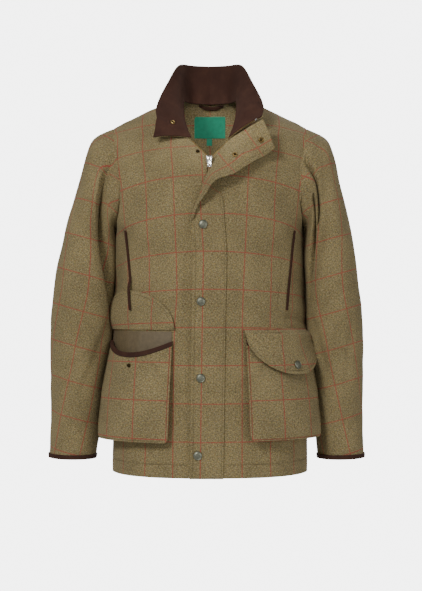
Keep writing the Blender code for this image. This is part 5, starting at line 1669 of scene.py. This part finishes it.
def pocket(side):
    """Panel, mouth binding, gusset and flap, with the stud of the open pocket."""
    a, b = np.meshgrid(shares_along(POCKET_COLUMNS), np.linspace(0, 1, POCKET_ROWS))
    grid = pocket_point(side, a, b, pocket_off(side, a, b))
    girth, h = pocket_place(side, a, b)
    down = check_height(h, girth) - POCKET_CHECK_UP
    uv = np.stack([(a - POCKET_CHECK_AT) * POCKET_CHECK_WIDE, down], axis=-1)
    move = waver(uv) * POCKET_WAVER - POCKET_GROOVE * pocket_edge(a, b, POCKET_STITCH)
    grid = grid + grid_normals(grid, FORWARD) * move[..., None]
    name = "pocket_" + SIDE_NAME[side]
    panel = cloth_piece(name + "_panel", grid, uv, FORWARD, CLOTH, TWEED, "tweed")
    down = np.linspace(POCKET_STITCH_TOP, POCKET_STITCH_TURN, PATH_POINTS)
    path = [(POCKET_STITCH, s) for s in down]
    path += [(s, POCKET_STITCH) for s in np.linspace(POCKET_STITCH_TURN, 1 - POCKET_STITCH_TURN, PATH_POINTS)]
    path += [(1 - POCKET_STITCH, s) for s in down[::-1]]
    path_a, path_b = np.array(path).T
    line = pocket_behind(side, path_a, path_b, STITCH_SUNK)
    stitch_line("tweed", line, unit(line - pocket_behind(side, path_a, path_b, CLOTH)))
    extra = [pocket_binding(side)]
    if side == RIGHT:
        here = pocket_behind(side, *POCKET_STUD_PLACE, 0.0)
        out = unit(here - pocket_behind(side, *POCKET_STUD_PLACE, CLOTH))
        extra.append(stud("pocket_right_stud", here, out))
    grid = gusset_grid(side)
    uv = np.stack([run_along(grid, 1), run_along(grid, 0)], axis=-1)
    gusset = cloth_piece(name + "_gusset", grid, uv, DOWNWARD, TRIM, TWEED, "tweed")
    pocket_flap(side)


def pocket_binding(side):
    """A brown binding folded over the mouth of the pocket."""
    name = "pocket_" + SIDE_NAME[side] + "_binding"
    drop, out_by = np.array(BINDING_SECTION).T
    rings, line, outs = [], [], []
    for share in np.linspace(0.0, 1.0, POCKET_COLUMNS):
        at, mouth = pocket_place(side, share, 1.0)
        depth = mouth - pocket_place(side, share, 0.0)[1]
        point, out = girth_frame(side, mouth - drop, np.full(len(drop), at))
        rings.append(point + out * (pocket_off(side, share, 1 - drop / depth) + out_by)[:, None])
        point, out = girth_frame(side, mouth - BINDING_STITCH, at)
        off = pocket_off(side, share, 1 - BINDING_STITCH / depth)
        line.append(point + out * (off + CLEAR + TRIM + STITCH_PROUD))
        outs.append(out)
    stitch_line("brown", line, outs)
    return dress(ring_band(name + "_cloth", rings, False), BROWN, "brown_moleskin", name)


def gusset_grid(side):
    """The gusset from the front in to its fold and out to the panel, round the sides and bottom."""
    down = [(0.0, s) for s in np.linspace(GUSSET_TOP, 0.0, PATH_POINTS)]
    across = [(s, 0.0) for s in shares_along(GUSSET_POINTS)][1:-1]
    up = [(1.0, s) for s in np.linspace(0.0, GUSSET_TOP, PATH_POINTS)]
    path_a, path_b = np.array(down + across + up).T
    edge_a = np.clip(path_a, GUSSET_EDGE_INSET, 1 - GUSSET_EDGE_INSET)
    edge = pocket_behind(side, edge_a, np.maximum(path_b, GUSSET_EDGE_INSET), CLOTH + GUSSET_BEHIND)
    fold = pocket_point(side, path_a, path_b, pocket_off(side, path_a, path_b) / 2, GUSSET_FOLD_INSET)
    root = pocket_point(side, path_a, path_b, np.full(len(path_a), INSIDE_CLEAR), GUSSET_ROOT_INSET)
    rows = []
    for t in np.linspace(0, 1, GUSSET_COLUMNS):
        bend = np.clip(abs(2 * t - 1), GUSSET_BEND, 1.0)
        end = root if t < 0.5 else edge
        rows.append(fold + (end - fold) * (bend - GUSSET_BEND) / (1 - GUSSET_BEND))
    return np.stack(rows, axis=1)


def pocket_edge(a, b, at):
    """1 on the stitched line near the sides and bottom of a pocket, fading off it."""
    near = np.minimum(np.minimum(a, 1 - a), b)
    return np.exp(-(((near - at) / POCKET_STITCH_FADE) ** 2))


LINING_ROWS = 46
LINING_COLUMNS = 70
LINING_WRINKLE = 0.0007
LINING_WAVES = (21, 9)
LINING_WAVE_LEAN = 30
LINING_WAVE_START = 1.0


def pocket_lining():
    """The lining that shows in the open mouth, a little wrinkled."""
    pocket = POCKETS[RIGHT]
    from_h, to_h = LINING_WIDENS
    heights = np.linspace(LINING_LOW, pocket.hinge - LINING_BELOW_HINGE, LINING_ROWS)
    h, a = np.meshgrid(heights, np.linspace(0, 1, LINING_COLUMNS), indexing="ij")
    wider = ease((h - from_h) / (to_h - from_h))
    margin = LINING_MARGIN_LOW + (LINING_MARGIN_HIGH - LINING_MARGIN_LOW) * wider
    girth = pocket.in_top + margin + (pocket.out - pocket.in_top - 2 * margin) * a
    point, out = girth_frame(RIGHT, h, girth)
    leaning = np.sin(a * LINING_WAVES[0] + LINING_WAVE_LEAN * (h - LINING_LOW))
    upright = np.sin(a * LINING_WAVES[1] + LINING_WAVE_START)
    wrinkle = LINING_WRINKLE * (1 + leaning * upright) * np.sin(math.pi * a)
    grid = point + out * (ON_CURVE_CLEAR + TRIM + wrinkle)[..., None]
    uv = np.stack([girth, h], axis=-1)
    obj = cloth_piece("pocket_right_lining", grid, uv, FORWARD, TRIM, LINING, "nylon_lining")


def pocket_flap_drop(side, a):
    """Length of the pocket flap at a share of its width from its inner end."""
    full = POCKET_FLAP_DROP[side]
    away = np.clip((POCKET_FLAP_PEAK - a) / POCKET_FLAP_PEAK, 0.0, 1.0)
    swell = (1 - away ** POCKET_FLAP_CURVE) ** (1 / POCKET_FLAP_CURVE)
    past = np.clip((a - POCKET_FLAP_PEAK) / (1 - POCKET_FLAP_PEAK), 0.0, 1.0)
    rising = POCKET_FLAP_END + (full - POCKET_FLAP_END) * swell
    trimmed = full * (1 - POCKET_FLAP_TRIM * past ** POCKET_FLAP_TRIM_CURVE)
    return np.where(a < POCKET_FLAP_PEAK, rising, trimmed)


def pocket_flap_place(side, a, b):
    pocket = POCKETS[side]
    start = pocket.in_top - POCKET_FLAP_BEFORE
    drop = pocket_flap_drop(side, a) * b
    wider = RAISED_FLAP_WIDER * raised_flap_curl(a, b) if side == RIGHT else 0.0
    return start + (pocket.out - start) * a + wider, pocket.hinge + (drop if side == RIGHT else -drop)


def raised_flap_curl(a, b):
    """1 at the outer end of the raised flap, halfway up it, fading off from there."""
    low, rise = RAISED_FLAP_CURL_RISE
    return ease((a - RAISED_FLAP_CURLS) / (1 - RAISED_FLAP_CURLS)) * np.sin(math.pi * (low + rise * b))


def pocket_flap_point(side, a, b):
    """The face of the flap that shows; b runs from its seam to its edge. The right flap is turned up."""
    pocket = POCKETS[side]
    girth, h = pocket_flap_place(side, a, b)
    point, out = girth_frame(side, h, girth)
    if side == RIGHT:
        off = CLEAR + CLOTH + RAISED_FLAP_BULGE * np.sin(math.pi * b) + RAISED_FLAP_EDGE * b ** 2
        off = off + RAISED_FLAP_CURL * raised_flap_curl(a, b) ** 2
    else:
        low = pocket_place(side, a, 0.0)[1]
        mouth = pocket_place(side, a, 1.0)[1]
        standing = pocket_off(side, a, (h - low) / (mouth - low)) + 2 * CLEAR + TRIM + CLOSED_FLAP_OVER
        lifted = ease((pocket.hinge - h) / POCKET_FLAP_LIFT)
        off = CLOTH + CLEAR + standing * lifted + CLOSED_FLAP_EDGE * b ** 3
    return point + out * np.asarray(off)[..., None]


FLAP_EDGE_STITCH = 0.0070
CLOSED_FLAP_LINES = (-0.02, 0.43, 0.66)
CLOSED_FLAP_LEAN = 0.14
CLOSED_FLAP_DOWN = 1.047
CLOSED_FLAP_LOW = 0.002
CLOSED_FLAP_SEAMS = (0.0015, 0.0085)
CLOSED_FLAP_SEAM_FROM = 4
POCKET_FLAP_COLUMNS = 72
POCKET_FLAP_ROWS = 44
POCKET_FLAP_CLOSER = 0.12
POCKET_FLAP_WAVER = 0.6
POCKET_FLAP_SEWN = (0.05, 0.965, 120)


def closed_flap_check(a, b):
    """Cloth coordinates on the closed flap, by where its lines of the check lie."""
    first, second, third = CLOSED_FLAP_LINES
    third = third + CLOSED_FLAP_LEAN * b
    lines = np.where(a < second, (a - first) / (second - first), 1 + (a - second) / (third - second))
    down = (pocket_flap_drop(LEFT, a) * b - CLOSED_FLAP_LOW) * CLOSED_FLAP_DOWN
    return np.stack([lines * CHECK_ACROSS, -down], axis=-1)


def pocket_flap(side):
    """A rounded flap with its sewing; the closed one has a snap."""
    a, b = np.meshgrid(np.linspace(0, 1, POCKET_FLAP_COLUMNS), np.linspace(0, 1, POCKET_FLAP_ROWS))
    a = a - POCKET_FLAP_CLOSER * np.sin(2 * math.pi * a) / (2 * math.pi)
    grid = pocket_flap_point(side, a, b)
    girth, h = pocket_flap_place(side, a, b)
    uv = front_check(side, h, girth) + RAISED_FLAP_SLIP if side == RIGHT else closed_flap_check(a, b)
    away = pocket_flap_drop(side, a) * (1 - b)
    groove = HEM_DIP * np.exp(-(((away - FLAP_EDGE_STITCH) / HEM_REACH) ** 2))
    grid = grid + grid_normals(grid, FORWARD) * (waver(uv) * POCKET_FLAP_WAVER - groove)[..., None]
    name = "pocket_" + SIDE_NAME[side] + "_flap"
    obj = cloth_piece(name, grid, uv, FORWARD, CLOTH, TWEED, "tweed")
    across = np.linspace(*POCKET_FLAP_SEWN)
    share = 1 - FLAP_EDGE_STITCH / pocket_flap_drop(side, across)
    near = NEAR_SHARE / 2
    beside = pocket_flap_point(side, across + near, share) - pocket_flap_point(side, across - near, share)
    low, high = [pocket_flap_point(side, across, share + step) for step in (NEAR_SHARE, -NEAR_SHARE)]
    out = unit(np.cross(beside, low - high))
    out = out * np.where(out[:, 1:2] > 0, -1.0, 1.0)
    stitch_line("tweed", pocket_flap_point(side, across, share) - out * STITCH_SUNK, out)
    extra = []
    if side == LEFT:
        for down in CLOSED_FLAP_SEAMS:
            seam_a = across[CLOSED_FLAP_SEAM_FROM:-1]
            seam = pocket_flap_point(side, seam_a, down / pocket_flap_drop(side, seam_a))
            stitch_line("tweed", seam, np.broadcast_to(FORWARD, seam.shape))
        snap_a, snap_b = POCKET_SNAP_PLACE
        here = pocket_flap_point(side, snap_a, snap_b)
        beside = pocket_flap_point(side, snap_a + NEAR_SHARE, snap_b) - here
        below = pocket_flap_point(side, snap_a, snap_b + NEAR_SHARE) - here
        extra = [snap_cap("pocket_left_snap", here, unit(np.cross(below, beside)))]


# Back neck
def inside_back(x, h, off):
    """A point inside the back, clear of its wall."""
    point, out = surface_frame(BACK, x, h)
    return point - out * (CLOTH + INSIDE_CLEAR + np.asarray(off))[..., None]


LOOP_POINTS = 60
LOOP_COLUMNS = 9
LOOP_PUFF = 0.0004
LABEL_ROWS = 30
LABEL_COLUMNS = 40
LABEL_RIPPLE = 0.00025
LABEL_RIPPLES = (310, 140)
LABEL_RIPPLE_START = 0.5


def neck_pieces():
    """Hanging loop, bare label and bare size tab, inside the back below the collar."""
    share = np.linspace(-1, 1, LOOP_POINTS)[:, None]
    k = np.linspace(0, 1, LOOP_COLUMNS)[None, :]
    deep = LOOP_DEEP * np.minimum(1.0, LOOP_END_SHARE + LOOP_END_SLOPE * (1 - np.abs(share)))
    bow = TRIM + LOOP_CLEAR + LOOP_BOW * (1 - share ** 2) + LOOP_PUFF * np.sin(math.pi * k)
    grid = inside_back(LOOP_X + LOOP_HALF * share + 0 * k, LOOP_TOP - deep * k, bow) + LOOP_MOVE
    uv = np.stack([run_along(grid, 0), run_along(grid, 1)], axis=-1)
    loop = cloth_piece("hanging_loop", grid, uv, FORWARD, TRIM, BROWN, "brown_moleskin")
    for name, (x0, x1, low, high) in (("neck_label", LABEL_BOX), ("size_tab", TAB_BOX)):
        heights = np.linspace(low, high, LABEL_ROWS)
        h, x = np.meshgrid(heights, np.linspace(x0, x1, LABEL_COLUMNS), indexing="ij")
        ripple = LABEL_RIPPLE * np.sin((x - x0) * LABEL_RIPPLES[0])
        ripple = ripple * np.sin((h - low) * LABEL_RIPPLES[1] + LABEL_RIPPLE_START)
        grid = inside_back(x, h, LABEL_THICK + ripple)
        uv = np.stack([x, h], axis=-1)
        obj = cloth_piece(name, grid, uv, FORWARD, LABEL_THICK, LABEL, "woven_label")


# Sewing
STITCH_LENGTH = 0.0030
STITCH_PITCH = 0.0040
STITCH_RADIUS = 0.00042
STITCH_NEAR = 0.001


def sew():
    """All stitches of one thread as one mesh."""
    for kind, material, slot in (("tweed", THREAD, "tweed"), ("brown", BROWN_THREAD, "brown_moleskin")):
        places = []
        for points, normals in stitches[kind]:
            run = line_run(points)
            for at in np.arange(STITCH_PITCH / 2, run[-1] - STITCH_PITCH / 2, STITCH_PITCH):
                start, end = [spread(at + step, run, points) for step in (-STITCH_NEAR, STITCH_NEAR)]
                out = unit(spread(at, run, normals))
                ahead = unit(end - start)
                aside = unit(np.cross(out, ahead))
                places.append(((start + end) / 2, ahead, aside, np.cross(ahead, aside)))
        size = (STITCH_LENGTH, 2 * STITCH_RADIUS, 2 * STITCH_RADIUS)
        obj = small_blocks("stitches_" + kind, places, size)
        obj.data.uv_layers.new(name="cloth")
        dress(obj, material, slot)


def build():
    front_panel(RIGHT)
    front_panel(LEFT)
    back_panel()
    sleeve(RIGHT)
    sleeve(LEFT)
    collar()
    storm_flap()
    point, out = surface_frame(FRONT, FRONT_STUD.x, FRONT_STUD.height)
    stud(FRONT_STUD.name, point, out)
    zip_slider_and_pull()
    neck_pieces()
    pocket_lining()
    for side in (RIGHT, LEFT):
        zip_tape(side)
        hand_pocket(side)
        pocket(side)
    sew()


# Floor, light and camera
FLOOR_HEIGHT = -1.26
FLOOR_RADIUS = 0.82
FLOOR_DEEP = 0.02
FLOOR_SIDES = 96
FLOOR_ROUGHNESS = 0.8
FLOOR_NOISE = (3.0, 2.0)
FLOOR_SHADES = (colour(243, 243, 243), colour(250, 250, 250))
WHITE = (1.0, 1.0, 1.0, 1.0)
BACKGROUND = 5.4
AMBIENT = 0.42
EYE = (0.0021, -2.6, -0.442)
LENS = 75.43
SENSOR = 36.0
SHIFT_UP = 0.0245
Lamp = namedtuple("Lamp", "name place size power")
LAMPS = (
    Lamp("key", (-1.4, -2.5, 1.05), 0.7, 62.0),
    Lamp("fill", (2.0, -2.5, -0.3), 1.6, 25.0),
    Lamp("back", (0.6, 2.4, 0.9), 1.8, 48.0),
)
NECK_LAMP = Lamp("neck", (0.0, -2.4, 0.32), 0.10, 640.0)
NECK_AIM = Vector((0.0, 0.08, -0.072))
NECK_BEAM = 0.054
AIM = Vector((0.0, 0.0, -0.40))


def aimed(place, aim):
    """How a lamp turns to look from its place at another."""
    return (aim - Vector(place)).to_track_quat("-Z", "Y").to_euler()


def stage_and_camera():
    bpy.ops.mesh.primitive_cylinder_add(
        vertices=FLOOR_SIDES, radius=FLOOR_RADIUS, depth=FLOOR_DEEP, location=(0, 0, 0)
    )
    floor = bpy.context.object
    floor.name = "floor"
    floor.data.transform(Matrix.Translation((0, 0, FLOOR_HEIGHT - FLOOR_DEEP / 2)))
    pale, tree, shader = new_material("floor", FLOOR_ROUGHNESS)
    place = node(tree, "ShaderNodeTexCoord").outputs["Object"]
    tone = ramp(tree, noise(tree, place, *FLOOR_NOISE), list(zip(NOISE_MIDDLE, FLOOR_SHADES)))
    tree.links.new(tone, shader.inputs["Base Color"])
    floor.data.materials.append(pale)
    world = bpy.data.worlds.new("studio")
    world.use_nodes = True
    bpy.context.scene.world = world
    tree = world.node_tree
    shown = tree.nodes["Background"]
    shown.inputs["Color"].default_value = WHITE
    shown.inputs["Strength"].default_value = BACKGROUND
    lit = node(tree, "ShaderNodeBackground", {"Color": WHITE, "Strength": AMBIENT})
    path = node(tree, "ShaderNodeLightPath")
    both = node(tree, "ShaderNodeMixShader", {0: path.outputs["Is Camera Ray"]})
    tree.links.new(lit.outputs[0], both.inputs[1])
    tree.links.new(shown.outputs[0], both.inputs[2])
    tree.links.new(both.outputs[0], tree.nodes["World Output"].inputs["Surface"])
    for lamp in LAMPS:
        bpy.ops.object.light_add(type="AREA", location=lamp.place)
        obj = bpy.context.object
        obj.name = lamp.name
        obj.data.size = lamp.size
        obj.data.energy = lamp.power
        obj.rotation_euler = aimed(lamp.place, AIM)
    bpy.ops.object.light_add(type="SPOT", location=NECK_LAMP.place)
    spot = bpy.context.object
    spot.name = NECK_LAMP.name
    spot.data.energy = NECK_LAMP.power
    spot.data.shadow_soft_size = NECK_LAMP.size
    spot.data.spot_size = NECK_BEAM
    spot.data.spot_blend = 1.0
    spot.rotation_euler = aimed(NECK_LAMP.place, NECK_AIM)
    bpy.ops.object.camera_add(location=EYE, rotation=(math.radians(90), 0.0, 0.0))
    camera = bpy.context.object
    camera.data.sensor_fit = "AUTO"
    camera.data.sensor_width = SENSOR
    camera.data.lens = LENS
    camera.data.shift_y = SHIFT_UP
    bpy.context.scene.camera = camera


build()
stage_and_camera()
